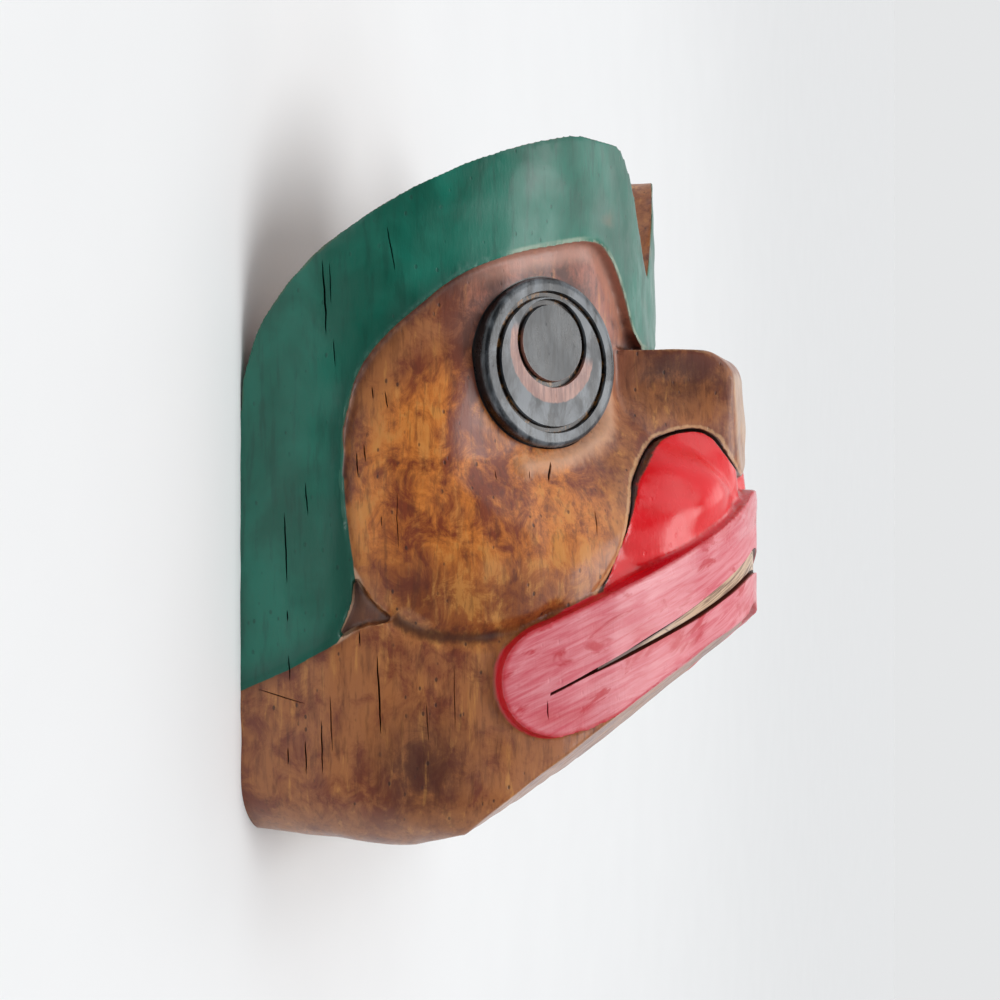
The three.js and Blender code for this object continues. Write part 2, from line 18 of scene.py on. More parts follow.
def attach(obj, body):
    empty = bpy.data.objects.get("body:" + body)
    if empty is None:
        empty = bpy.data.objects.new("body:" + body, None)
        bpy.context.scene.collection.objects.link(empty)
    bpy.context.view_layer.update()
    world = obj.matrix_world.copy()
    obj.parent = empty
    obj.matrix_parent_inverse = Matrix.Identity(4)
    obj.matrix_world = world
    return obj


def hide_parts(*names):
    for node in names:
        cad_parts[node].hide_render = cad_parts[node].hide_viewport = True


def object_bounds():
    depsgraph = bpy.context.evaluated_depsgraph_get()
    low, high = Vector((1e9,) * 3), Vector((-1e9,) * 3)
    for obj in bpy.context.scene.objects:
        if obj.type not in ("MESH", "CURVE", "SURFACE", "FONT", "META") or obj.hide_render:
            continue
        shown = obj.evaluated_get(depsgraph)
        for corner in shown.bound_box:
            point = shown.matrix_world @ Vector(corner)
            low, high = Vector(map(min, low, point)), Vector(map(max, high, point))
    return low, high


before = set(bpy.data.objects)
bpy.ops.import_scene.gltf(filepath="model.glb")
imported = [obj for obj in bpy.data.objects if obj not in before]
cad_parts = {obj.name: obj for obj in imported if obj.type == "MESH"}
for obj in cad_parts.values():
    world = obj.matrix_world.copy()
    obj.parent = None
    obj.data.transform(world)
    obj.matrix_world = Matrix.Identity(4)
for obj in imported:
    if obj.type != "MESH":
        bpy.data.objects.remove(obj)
cad_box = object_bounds()

# Block
HALF_WIDTH = 110
CROWN_TOP = 118.6
CHIN_BOTTOM = -109.2
HEAD_FRONT = 110
HEAD_POWER = 2.35
FOREHEAD_START = 45
FOREHEAD_LEAN = 0.02
MOUTH_FRONT = 142
MOUTH_POWER = 2
BOTTOM_ROUND = 20
MIDDLE_HEIGHT = (CROWN_TOP + CHIN_BOTTOM) / 2

# Side profile: the curved slope from the rim up to the crown, the straight chin and the underside
RIM_TOP = 28
CROWN_RISE = 95.2
CROWN_RUN = 108
CROWN_POWER = 0.45
CHIN_FRONT = 86.8
CHIN_HEIGHT = -88.2
CHIN_SLOPE = 1.23
UNDERSIDE = [
    (-6, -104.8), (6, -105.3), (26, -107), (38, -108.3), (48, -109.2), (58, -107.2), (66, -104.6),
]
CHIN_CUT_HEIGHTS = (-130, -30)

# Notch between the two lobes of the crown
NOTCH_BOTTOM = 79
NOTCH_SLOPE = 1.45
NOTCH_TIP = 2
LOBE_ROUND = 12
NOTCH_HALF_WIDTH = 46

# Face, lower than the headband by the socket's drop and swelling out to the mouth
SOCKET_DROP = 4
JAW_DROP = 0.3
SWELL_RUN = 46
SWELL_TOP_FRONT = 46
SWELL_TOP_SIDE = 16
SWELL_FRONT_ANGLE = 12
SWELL_SIDE_ANGLE = 42

# Cheek ball. A place on the face is an angle in degrees and a height in millimetres.
CHEEK_MIDDLE = (52, 0)
CHEEK_RADIUS = 47
CHEEK_RISE = 4
ARC_PER_DEGREE = 2.06

# Shallow hollow between the cheek ball and the eye
SOCKET_MIDDLE = (46, 20)
SOCKET_RADIUS = 26
SOCKET_DEPTH = 3.5

# Headband's lower edge
BAND_AT_RIM = [(100, -68), (90, -58.2), (82, -51.5), (74.3, -43.2)]
BAND_ROUND_EYE = [
    (74.3, -43.2), (71.5, -30), (73.4, 8), (70.4, 39.8), (58.1, 64.7), (48, 75),
    (36.8, 81), (27, 84), (22.2, 80), (17.4, 70.5), (12, 57.5), (6, 52.4),
]
BRIDGE_HEIGHT = 52
BAND_BOTTOM = -62
BAND_OPENING_BOTTOM = -140

# Three-sided hollow where the headband, the cheek and the jaw meet
HOLLOW_CORNERS = [(71.7, -21.5), (64.7, -37.1), (74.3, -43.2)]
HOLLOW_SIDES = [(68.6, -31), (70, -38.6), (71.6, -31.5)]
HOLLOW_DEPTH = 3.5
HOLLOW_ANGLES = (60, 80)
HOLLOW_HEIGHTS = (-50, -15)

# Snout
SNOUT_TOP = 51.2
SNOUT_BOTTOM = -12
SNOUT_FRONT = 143.4
SNOUT_LEAN = 0.04
SNOUT_NOSE_ROUND = 11
SNOUT_HALF_WIDTH = 13
SNOUT_TOP_FLARE = 0.45
SNOUT_FLARE_GAIN = 0.75
SNOUT_FLARE_START = 42
SNOUT_FLARE_RUN = 45
SNOUT_ARRIS_ROUND = 3.5
SNOUT_LIMIT = 144.5
SNOUT_END_ANGLE = 34

# Nostril flap
FLAP_EDGE = [
    (36.5, -34), (34.2, -28.6), (31.2, -19), (28.4, -6.4), (24.8, 6.5), (19, 16.5), (14.5, 21.2),
    (10.1, 23.7), (8, 21.6), (6.5, 15.5), (4.8, 11), (1, 8), (-3, 7), (-3, -6),
]
FLAP_SINK = 3.5
FLAP_RISE = 7
FLAP_MIDDLE = (16, 0)
FLAP_REACH = 32
FLAP_LIFT = 3
FLAP_LIFT_REACH = 12
FLAP_ANGLES = (-6, 42)
FLAP_HEIGHTS = (-42, 30)

# Lips
LIP_HALF_WIDTH = 114
LIP_FRONT = 147.3
LIP_TOP = 4
LIP_BOTTOM = -35.8
LIP_FALL = 0.985
LIP_BEND = 0.8
LIP_END_ANGLE = 42.2
LIP_END_RADIUS = 17.8
LIP_ARC_PER_DEGREE = 2.2
LIP_LEAN = 24
LIP_STRAIGHT_ANGLE = 40
LIP_BLOCK_ANGLE = 54
LIP_BLOCK_HEIGHTS = (-84, 9)

# Slit between the lips, with the tongue strip standing in it
SLIT_LEVEL = -15.2
SLIT_FALL = 1.027
SLIT_BEND = 5.6
SLIT_END_ANGLE = 43.3
SLIT_HALF_GAP = 4.4
SLIT_DEPTH = 14
SLIT_HEIGHTS = (-70, -8)
SLIT_THIN_GAP = 0.5
PAST_END_ANGLE = 3
TONGUE_END_ANGLE = 36
TONGUE_CLEARANCE = 0.9
TONGUE_SINK = 1.5

# Eye
EYE_PLACE = (70, 44, 90.4)
EYE_TURN = 52
EYE_TILT = 2
EYE_RADIUS = 27.3
EYE_THICKNESS = 20
EYE_GROOVE = (20.6, 22.8)
PUPIL_GROOVE = (12.1, 14.3)
PUPIL_RISE = 6
CRESCENT_RADIUS = 17.2
CRESCENT_RISE = 4
GROOVE_DEPTH = 2

# Hollow back
WALL = 15
HOLLOW_FRONT = 116
HOLLOW_BOTTOM = -90
HOLLOW_ROUND = 22
HOLLOW_START_TURN = 12
BACK_ANGLE = 104
CHIN_WALL = 24

# Fineness of the carved surface and reach of the cutters
FINE_STEP = 1.5
VOXEL = 0.8
CARVED_TRIANGLES = 150000
PAST_RIM_ANGLE = 92.5
PAST_MIDDLE_ANGLE = 6
PAST_TOP = 20
CUT_REACH = 170
CORE_RADIUS = 60
CUTTER_RINGS = [60, 80, *range(96, 156, 6), 170, 420]
WELD = 1e-4
SHARP_ANGLE = 38

# Soft relief that only the fine surface has
CHEEK_GROOVE = [(64.7, -37), (59.7, -41.5), (52.3, -42.5), (45, -39.7), (41.5, -35.5)]
CHEEK_GROOVE_DEPTH = 2.2
CHEEK_GROOVE_WIDTH = 5
FLAP_BEVEL_DEPTH = 1.1
FLAP_BEVEL_WIDTH = 2.4
EYE_RIDGE = [(20, 42), (21, 32), (25.5, 22.5), (30.5, 17), (37, 12.5), (43, 10.5)]
EYE_RIDGE_RISE = 1.6
EYE_RIDGE_WIDTH = 5
TOOL_MARK_DEPTH = 0.16
TOOL_MARK_SIZE = 17
GOUGE_DEPTH = 0.7
GOUGE_WIDTH = 11
GOUGE_LENGTH = 23
GOUGE_BEND = 0.35
GOUGE_BEND_SIZE = 60
STROKE_BEND = 0.4
STROKE_BEND_SIZE = 45
STROKE_SHIFT = 0.37
STROKE_SHARE = 0.5
FACET_LEVEL = 0.6
WAVE_COUNT = 14
INNER_MARGIN = 4
INNER_FADE = 3
CHEEK_FADE = 16
STAIN_FADE = 22

# Cracks along the grain and a scratch: angle and height of both ends, and width. A crack is twice as
# deep as it is wide and wanders a little.
CRACKS = [
    (76.4, 73.7, 75.8, 50.6, 0.7), (75.3, 73, 75, 60.1, 0.4), (74.6, 49.4, 74.3, 40.8, 0.4),
    (66.2, 84, 65, 70.3, 0.5), (82.6, -3.7, 82.1, -25.8, 0.6), (82.1, -33.8, 82, -37.5, 0.5),
    (81.9, -47.7, 81.7, -56, 0.5), (79.1, 5.5, 78.7, -4.9, 0.5), (68.5, 35.2, 68.3, 30.9, 0.5),
    (66.4, 33.9, 65.9, 28, 0.5), (71, 14.8, 70.7, 6.8, 0.5), (69.8, 17.3, 69.5, 11.7, 0.5),
    (64.7, 2.5, 64.6, -15.3, 0.35), (67.2, -4.6, 67.1, -8.3, 0.35), (67.8, -47.5, 67.2, -72, 0.7),
    (70.6, -39.9, 70.4, -45.1, 0.5), (75.2, -60.1, 74.8, -77.3, 0.45), (76.6, -67.5, 76.4, -84.1, 0.55),
    (79.2, -73.8, 79, -84.5, 0.55), (82, -76, 82, -81.6, 0.5), (87.1, -58.4, 79.2, -62.7, 0.4),
    (60.4, -62, 59.9, -74.3, 0.35), (56.2, -51.3, 56.1, -70.7, 0.35), (38.7, 12.1, 39.6, 5.7, 0.9),
    (42.6, 9.4, 42.7, 6.3, 0.4), (48.5, 9.3, 48.6, 6.2, 0.4), (33.8, -3.2, 34.6, -11, 0.45),
    (43.7, -61.7, 43.4, -67.9, 0.5),
]
FAR_SIDE_CRACKS = 9
FAR_CRACK_ANGLES = (60, 84)
FAR_CRACK_TOPS = (-50, 40)
FAR_CRACK_LENGTHS = (7, 24)
FAR_CRACK_WIDTHS = (0.35, 0.6)
FAR_CRACK_LEAN = 0.4
CRACK_STEP = 1.2
CRACK_LIFT = 0.5
CRACK_END_SHARE = 0.08
CRACK_WANDER = 0.03
FLAP_LINE_WIDTH = 1.3
FLAP_LINE_WANDER = 1.4
FLAP_LINE_START = 3.5

# Purplish stain round the eye, the darkest stain low on the jaw, and painted shade on top of the snout's
# side where it meets the cheek
EYE_STAIN_MIDDLE = (34, 62)
EYE_STAIN_REACH = 52
JAW_STAIN_MIDDLE = (61, -82)
JAW_STAIN_REACH = 26
# Painted shade: the dark patch where the snout's side meets the cheek
SNOUT_SHADE_MIDDLE = (11, 42)
SNOUT_SHADE_REACH = 17


def smooth_step(value):
    share = np.clip(value, 0, 1)
    return share * share * (3 - 2 * share)


def mix(start, end, share):
    return start + (end - start) * share


def smooth_min(first, second, blend):
    share = np.clip(0.5 + 0.5 * (second - first) / blend, 0, 1)
    return mix(second, first, share) - blend * share * (1 - share)


def steps(start, end, count):
    return np.linspace(start, end, count + 1)


def spaced(start, end, step):
    return steps(start, end, max(1, round(abs(end - start) / step)))


# A smooth line through points, in the plane of angle and height
def smooth_line(points, count):
    points = np.array(points, float)
    last = len(points) - 1
    line = []
    for place in np.linspace(0, last, count + 1):
        index = min(int(place), last)
        share = place - index
        before, here, after, beyond = [points[min(max(index + step, 0), last)] for step in range(-1, 3)]
        leaving = (after - before) / 2
        arriving = (beyond - here) / 2
        line.append(
            (2 * here - 2 * after + leaving + arriving) * share ** 3
            + (-3 * here + 3 * after - 2 * leaving - arriving) * share ** 2
            + leaving * share
            + here
        )
    return [tuple(point) for point in line]


# Distance in millimetres from points on the face to a line given in degrees and millimetres
def line_distance(angle, height, line, closed=False):
    across = np.abs(angle) * ARC_PER_DEGREE
    corners = [(point[0] * ARC_PER_DEGREE, point[1]) for point in line]
    if closed:
        corners.append(corners[0])
    nearest = np.full(np.broadcast(across, height).shape, 1e6)
    for (start_x, start_y), (end_x, end_y) in zip(corners, corners[1:]):
        run_x, run_y = end_x - start_x, end_y - start_y
        length = run_x ** 2 + run_y ** 2
        if length < 1e-9:
            continue
        share = np.clip(((across - start_x) * run_x + (height - start_y) * run_y) / length, 0, 1)
        away = np.hypot(across - start_x - share * run_x, height - start_y - share * run_y)
        nearest = np.minimum(nearest, away)
    return nearest


# The same distance for a closed outline, negative outside it
def inside_distance(angle, height, outline):
    angle = np.abs(angle)
    inside = np.zeros(np.broadcast(angle, height).shape, bool)
    corners = list(outline) + [outline[0]]
    for (start_x, start_y), (end_x, end_y) in zip(corners, corners[1:]):
        if start_y == end_y:
            continue
        crosses = (start_y > height) != (end_y > height)
        at = start_x + (height - start_y) / (end_y - start_y) * (end_x - start_x)
        inside ^= crosses & (angle < at)
    away = line_distance(angle, height, outline, closed=True)
    return np.where(inside, away, -away)


def oval_radius(angle, half_width, front, power):
    across = np.abs(np.sin(np.radians(angle))) / half_width
    ahead = np.abs(np.cos(np.radians(angle))) / front
    return (across ** power + ahead ** power) ** (-1 / power)


# How far the forehead leans back above the brow
def forehead_lean(height):
    return FOREHEAD_LEAN * np.maximum(0, height - FOREHEAD_START)


def head_radius(angle, height):
    return oval_radius(angle, HALF_WIDTH, HEAD_FRONT, HEAD_POWER) - forehead_lean(height)


def swell(angle, height):
    aside = (np.abs(angle) - SWELL_FRONT_ANGLE) / (SWELL_SIDE_ANGLE - SWELL_FRONT_ANGLE)
    top = mix(SWELL_TOP_FRONT, SWELL_TOP_SIDE, np.clip(aside, 0, 1))
    return smooth_step((top - height) / SWELL_RUN)


# Distance along the face from a place
def distance_from(place, angle, height):
    return np.hypot((np.abs(angle) - place[0]) * ARC_PER_DEGREE, height - place[1])


# The same as a share of a round form's radius
def share_from(middle, radius, angle, height):
    return np.minimum(1, distance_from(middle, angle, height) / radius)


def cheek_rise(angle, height):
    from_ball = share_from(CHEEK_MIDDLE, CHEEK_RADIUS, angle, height)
    from_hollow = share_from(SOCKET_MIDDLE, SOCKET_RADIUS, angle, height)
    return CHEEK_RISE * (1 - from_ball ** 2) - SOCKET_DEPTH * (1 - from_hollow ** 2) ** 2


def plain_face_radius(angle, height):
    share = swell(angle, height)
    half_width = HALF_WIDTH - mix(SOCKET_DROP, JAW_DROP, share)
    front = mix(HEAD_FRONT - SOCKET_DROP, MOUTH_FRONT, share)
    oval = oval_radius(angle, half_width, front, mix(HEAD_POWER, MOUTH_POWER, share))
    return oval + cheek_rise(angle, height) - forehead_lean(height)


def soft_relief(angle, height):
    groove = line_distance(angle, height, smooth_line(CHEEK_GROOVE, 24)) / CHEEK_GROOVE_WIDTH
    ridge = line_distance(angle, height, smooth_line(EYE_RIDGE, 12)) / EYE_RIDGE_WIDTH
    edge = line_distance(angle, height, flap_outline()) / FLAP_BEVEL_WIDTH
    return (
        EYE_RIDGE_RISE * smooth_step(1 - ridge)
        - CHEEK_GROOVE_DEPTH * smooth_step(1 - groove)
        - FLAP_BEVEL_DEPTH * np.clip(1 - edge, 0, 1)
    )


def face_radius(angle, height):
    return plain_face_radius(angle, height) + soft_relief(angle, height)


# How far a rounded edge falls back: not at all at its start, by its whole size at its end
def round_off(share, round_size):
    return round_size * (1 - np.sqrt(1 - np.clip(share, 0, 1) ** 2))


def draw_in(height, bottom, round_size):
    return round_off((bottom + round_size - height) / round_size, round_size)


# The underside as far as its lowest place, and level in front of it
def underside_at(forward):
    lowest = [height for _, height in UNDERSIDE].index(CHIN_BOTTOM)
    places, heights = zip(*UNDERSIDE[:lowest + 1])
    return np.interp(forward, places, heights)


def plain_snout_radius(angle, height):
    flare = SNOUT_TOP_FLARE + SNOUT_FLARE_GAIN * smooth_step((SNOUT_FLARE_START - height) / SNOUT_FLARE_RUN)
    turned = np.radians(np.abs(angle))
    side = (SNOUT_HALF_WIDTH + SNOUT_FRONT * flare) / (np.sin(turned) + flare * np.cos(turned))
    nose = round_off((height - SNOUT_TOP) / SNOUT_NOSE_ROUND + 1, SNOUT_NOSE_ROUND)
    front = (SNOUT_FRONT - SNOUT_LEAN * np.maximum(0, height) - nose) / np.cos(turned)
    limit = oval_radius(angle, HALF_WIDTH, SNOUT_LIMIT, MOUTH_POWER)
    return np.minimum(smooth_min(side, front, SNOUT_ARRIS_ROUND), limit)


def snout_radius(angle, height):
    edge = line_distance(angle, height, flap_outline()) / FLAP_BEVEL_WIDTH
    return plain_snout_radius(angle, height) - FLAP_BEVEL_DEPTH * np.clip(1 - edge, 0, 1)


def flap_radius(angle, height):
    distance = share_from(FLAP_MIDDLE, FLAP_REACH, angle, height)
    face = np.maximum(plain_face_radius(angle, height), plain_snout_radius(angle, height))
    near_lip = np.clip(1 - (height - lip_edge(LIP_TOP, angle)) / FLAP_LIFT_REACH, 0, 1)
    beside_middle = np.clip((np.abs(angle) - FLAP_MIDDLE[0]) / FLAP_MIDDLE[0], 0, 1)
    lift = FLAP_LIFT * near_lip ** 2 * beside_middle
    return face - FLAP_SINK + FLAP_RISE * (1 - distance ** 2) + lift


def lip_radius(angle, height=None):
    return oval_radius(angle, LIP_HALF_WIDTH, LIP_FRONT, MOUTH_POWER)


def hollow_radius(angle, height):
    share = swell(angle, height)
    front = mix(HEAD_FRONT - SOCKET_DROP - WALL, HOLLOW_FRONT, share)
    shell = oval_radius(angle, HALF_WIDTH - WALL, front, mix(HEAD_POWER, MOUTH_POWER, share))
    chin = CHIN_FRONT + (height - CHIN_HEIGHT) * CHIN_SLOPE - CHIN_WALL
    before_chin = chin / np.maximum(0.05, np.cos(np.radians(angle)))
    return np.minimum(shell, before_chin) - draw_in(height, HOLLOW_BOTTOM, HOLLOW_ROUND)


def band_opening():
    low = [(angle, BAND_OPENING_BOTTOM) for angle in steps(-PAST_MIDDLE_ANGLE, BAND_AT_RIM[0][0], 5)]
    return [*low, *BAND_AT_RIM, *smooth_line(BAND_ROUND_EYE, 110)[1:], (-PAST_MIDDLE_ANGLE, BRIDGE_HEIGHT)]


def flap_outline():
    return smooth_line([*FLAP_EDGE, FLAP_EDGE[0]], 90)[:-1]


def corner_outline():
    outline = []
    for index, corner in enumerate(HOLLOW_CORNERS):
        following = HOLLOW_CORNERS[(index + 1) % len(HOLLOW_CORNERS)]
        outline += smooth_line([corner, HOLLOW_SIDES[index], following], 12)[:-1]
    return outline


def lip_edge(level, angle):
    return level - LIP_FALL * (np.hypot(angle, LIP_BEND) - LIP_BEND)


def lip_outline():
    middle = (LIP_TOP + LIP_BOTTOM) / 2 + LIP_BEND
    end_height = lip_edge(middle, LIP_END_ANGLE)
    end = [
        (
            LIP_END_ANGLE + LIP_END_RADIUS * math.cos(math.radians(turn)) / LIP_ARC_PER_DEGREE,
            end_height + LIP_END_RADIUS * math.sin(math.radians(turn)),
        )
        for turn in steps(90 - LIP_LEAN, -90 - LIP_LEAN, 36)
    ]
    along = steps(-PAST_MIDDLE_ANGLE / 2, LIP_STRAIGHT_ANGLE, 40)
    top = [(angle, lip_edge(LIP_TOP, angle)) for angle in along]
    bottom = [(angle, lip_edge(LIP_BOTTOM, angle)) for angle in along[:-2]]
    return [*top, *end, *reversed(bottom)]


def slit_outline(end_angle, clearance):
    angles = steps(-PAST_MIDDLE_ANGLE / 3, end_angle, 40)
    level = SLIT_LEVEL - SLIT_FALL * np.hypot(angles, SLIT_BEND)
    gap = np.maximum(SLIT_THIN_GAP, SLIT_HALF_GAP * (1 - np.abs(angles) / SLIT_END_ANGLE) - clearance)
    upper = list(zip(angles, level + gap))
    lower = list(zip(angles, level - gap))
    return [*upper, *reversed(lower)]


def add_object(name, data):
    piece = bpy.data.objects.new(name, data)
    bpy.context.scene.collection.objects.link(piece)
    return piece


# Solids, as closed meshes in millimetres
def piece_from(name, corners, faces):
    mesh = bpy.data.meshes.new(name)
    mesh.from_pydata([tuple(corner) for corner in corners], [], [tuple(face) for face in faces])
    mesh.update()
    return add_object(name, mesh)


def use_modifier(piece, kind, **settings):
    modifier = piece.modifiers.new(kind, kind)
    for name, value in settings.items():
        setattr(modifier, name, value)
    bpy.context.view_layer.update()
    shaped = bpy.data.meshes.new_from_object(piece.evaluated_get(bpy.context.evaluated_depsgraph_get()))
    piece.modifiers.clear()
    piece.data = shaped
    return piece


def combine(piece, other, operation):
    use_modifier(piece, "BOOLEAN", object=other, operation=operation, solver="MANIFOLD")
    bpy.data.objects.remove(other)
    return piece


unite = partial(combine, operation="UNION")
cut = partial(combine, operation="DIFFERENCE")
keep_inside = partial(combine, operation="INTERSECT")


def points_at(angles, heights, radii, side=1):
    turned = np.radians(angles)
    return np.stack([side * radii * np.sin(turned), heights, radii * np.cos(turned)], axis=-1).reshape(-1, 3)


# The radius is a number or a function of angle and height
def grid_points(radius, angles, heights, side=1):
    angle_grid, height_grid = np.meshgrid(angles, heights)
    radii = radius(angle_grid, height_grid) if callable(radius) else radius
    return points_at(angle_grid, height_grid, np.broadcast_to(radii, angle_grid.shape), side)


def grid_faces(columns, rows, start, outward):
    faces = []
    for row in range(rows):
        for column in range(columns):
            corner = start + row * (columns + 1) + column
            above = corner + columns + 1
            face = (corner, corner + 1, above + 1, above)
            faces.append(face if outward else face[::-1])
    return faces


# The whole head as rows of points from one side to the other, closed across the back
def half_body(name, radius, angles, heights):
    columns = len(angles) - 1
    rows = len(heights) - 1
    faces = grid_faces(columns, rows, 0, True)
    for row in range(rows):
        first = row * (columns + 1)
        faces.append((first + columns, first, first + columns + 1, first + 2 * columns + 1))
    top = rows * (columns + 1)
    for column in range(1, columns):
        faces.append((0, column + 1, column))
        faces.append((top, top + column, top + column + 1))
    return piece_from(name, grid_points(radius, angles, heights), faces)


# A block between two radii over a patch of angles and heights
def radial_block(outer, inner, angles, heights, side=1):
    columns = len(angles) - 1
    rows = len(heights) - 1
    corners = np.concatenate([grid_points(radius, angles, heights, side) for radius in (outer, inner)])
    inside = (columns + 1) * (rows + 1)
    outward = side > 0
    faces = grid_faces(columns, rows, 0, outward) + grid_faces(columns, rows, inside, not outward)
    edge = list(range(columns))
    edge += [row * (columns + 1) + columns for row in range(rows)]
    edge += [rows * (columns + 1) + column for column in range(columns, 0, -1)]
    edge += [row * (columns + 1) for row in range(rows, 0, -1)]
    for here, there in zip(edge, edge[1:] + edge[:1]):
        face = (here, here + inside, there + inside, there)
        faces.append(face if outward else face[::-1])
    return piece_from("block", corners, faces)


# A cutter whose outline is given in degrees and millimetres, reaching from the core outwards
def radial_cutter(outline, side):
    area = sum(a[0] * b[1] - b[0] * a[1] for a, b in zip(outline, [*outline[1:], outline[0]]))
    outline = list(outline) if area > 0 else list(reversed(outline))
    count = len(outline)
    angles, heights = np.array(outline, float).T
    corners = np.concatenate([points_at(angles, heights, radius, side) for radius in CUTTER_RINGS])
    last = (len(CUTTER_RINGS) - 1) * count
    faces = []
    flat = [[Vector((float(x), float(y), 0)) for x, y in outline]]
    for a, b, c in tessellate_polygon(flat):
        (ax, ay), (bx, by), (cx, cy) = outline[a], outline[b], outline[c]
        if (bx - ax) * (cy - ay) - (by - ay) * (cx - ax) < 0:
            b, c = c, b
        faces.append((a, c, b))
        faces.append((a + last, b + last, c + last))
    for ring in range(0, last, count):
        for index in range(count):
            here = ring + index
            there = ring + (index + 1) % count
            faces.append((here, there, there + count, here + count))
    if side < 0:
        faces = [face[::-1] for face in faces]
    return piece_from("cutter", corners, faces)


# A prism between two outlines with as many corners
def prism(first, second):
    count = len(first)
    faces = [tuple(range(count)), tuple(range(count, 2 * count))]
    for index in range(count):
        following = (index + 1) % count
        faces.append((following, index, index + count, following + count))
    return outward_facing(piece_from("prism", [*first, *second], faces))


# A prism whose outline lies in the side view (forward, height) and that runs across the mask
def cross_prism(outline):
    return prism(
        [(-CUT_REACH, height, forward) for forward, height in outline],
        [(CUT_REACH, height, forward) for forward, height in outline],
    )


def outward_facing(piece):
    shape = bmesh.new()
    shape.from_mesh(piece.data)
    bmesh.ops.remove_doubles(shape, verts=shape.verts, dist=WELD)
    bmesh.ops.triangulate(shape, faces=shape.faces)
    bmesh.ops.recalc_face_normals(shape, faces=shape.faces)
    shape.to_mesh(piece.data)
    shape.free()
    return piece


def over_crown():
    behind = -PAST_TOP
    shares = steps(0, 1, 60)
    slope = zip(CROWN_RUN * shares ** 2, RIM_TOP + CROWN_RISE * shares ** (2 * CROWN_POWER))
    return cross_prism([(behind, 0), *slope, (CROWN_RUN, CUT_REACH), (behind, CUT_REACH)])


def under_chin():
    low, high = CHIN_CUT_HEIGHTS
    front = [CHIN_FRONT + (height - CHIN_HEIGHT) * CHIN_SLOPE for height in (low, high)]
    return cross_prism([(front[0], low), (CUT_REACH, low), (CUT_REACH, high), (front[1], high)])


def underside():
    behind, before = UNDERSIDE[0][0], UNDERSIDE[-1][0]
    low = CHIN_BOTTOM - PAST_TOP
    return cross_prism([*UNDERSIDE, (before, low), (behind, low)])


def notch():
    across = steps(-NOTCH_HALF_WIDTH, NOTCH_HALF_WIDTH, 90)
    side = NOTCH_BOTTOM + NOTCH_SLOPE * (np.hypot(across, NOTCH_TIP) - NOTCH_TIP)
    valley = list(zip(across, smooth_min(side, CROWN_TOP, LOBE_ROUND)))
    above = CROWN_TOP + PAST_TOP
    outline = [*valley, (NOTCH_HALF_WIDTH, above), (-NOTCH_HALF_WIDTH, above)]
    return prism([(x, y, CORE_RADIUS) for x, y in outline], [(x, y, CUT_REACH) for x, y in outline])


def behind_rim():
    return cross_prism([(-PAST_TOP, -CUT_REACH), (0, -CUT_REACH), (0, CUT_REACH), (-PAST_TOP, CUT_REACH)])


def face_body():
    def radius(angle, height):
        full = face_radius(angle, height)
        return full - draw_in(height, underside_at(full * np.cos(np.radians(angle))), BOTTOM_ROUND)
    angles = spaced(-PAST_RIM_ANGLE, PAST_RIM_ANGLE, FINE_STEP / ARC_PER_DEGREE)
    round_top = UNDERSIDE[0][1] + BOTTOM_ROUND
    rounded = mix(round_top, CHIN_BOTTOM, np.cos(np.radians(steps(0, 90, 24))))
    plain = spaced(round_top, CROWN_TOP, FINE_STEP)[1:]
    return half_body("carving", radius, angles, [*rounded, *plain])


def headband():
    angles = spaced(-PAST_RIM_ANGLE, PAST_RIM_ANGLE, FINE_STEP / ARC_PER_DEGREE)
    whole = half_body("band", head_radius, angles, steps(BAND_BOTTOM, CROWN_TOP, 60))
    for side in (1, -1):
        cut(whole, radial_cutter(band_opening(), side))
    return whole


def snout():
    angles = spaced(-SNOUT_END_ANGLE, SNOUT_END_ANGLE, FINE_STEP / ARC_PER_DEGREE)
    straight = spaced(SNOUT_BOTTOM, SNOUT_TOP - SNOUT_NOSE_ROUND, FINE_STEP)
    rounded = SNOUT_TOP - SNOUT_NOSE_ROUND * (1 - np.sin(np.radians(steps(0, 90, 16))))
    return radial_block(snout_radius, CORE_RADIUS, angles, [*straight, *rounded[1:]])


def flap_block(side):
    angles = spaced(*FLAP_ANGLES, FINE_STEP / ARC_PER_DEGREE)
    return radial_block(flap_radius, CORE_RADIUS - 1, angles, spaced(*FLAP_HEIGHTS, FINE_STEP), side)


def lips():
    angles = spaced(-LIP_BLOCK_ANGLE, LIP_BLOCK_ANGLE, FINE_STEP / ARC_PER_DEGREE)
    sides = []
    for side in (1, -1):
        block = radial_block(lip_radius, CORE_RADIUS, angles, steps(*LIP_BLOCK_HEIGHTS, 40))
        sides.append(keep_inside(block, radial_cutter(lip_outline(), side)))
    return unite(*sides)


# The surface that lies a depth below another one
def set_back(surface, depth):
    def radius(angle, height):
        return surface(angle, height) - depth
    return radius


def corner_hollow(side):
    floor = set_back(plain_face_radius, HOLLOW_DEPTH)
    block = radial_block(CUT_REACH, floor, steps(*HOLLOW_ANGLES, 24), steps(*HOLLOW_HEIGHTS, 24), side)
    return keep_inside(block, radial_cutter(corner_outline(), side))


def hollow_back():
    rounded = HOLLOW_BOTTOM + HOLLOW_ROUND * (1 - np.cos(np.radians(steps(HOLLOW_START_TURN, 90, 12))))
    plain = steps(HOLLOW_BOTTOM + HOLLOW_ROUND, CROWN_TOP + PAST_TOP, 70)[1:]
    return half_body("hollow", hollow_radius, steps(-BACK_ANGLE, BACK_ANGLE, 110), [*rounded, *plain])


def slit(side):
    reach = SLIT_END_ANGLE + PAST_END_ANGLE
    floor = set_back(lip_radius, SLIT_DEPTH)
    block = radial_block(CUT_REACH, floor, steps(-reach, reach, 90), steps(*SLIT_HEIGHTS, 1))
    return keep_inside(block, radial_cutter(slit_outline(SLIT_END_ANGLE, 0), side))


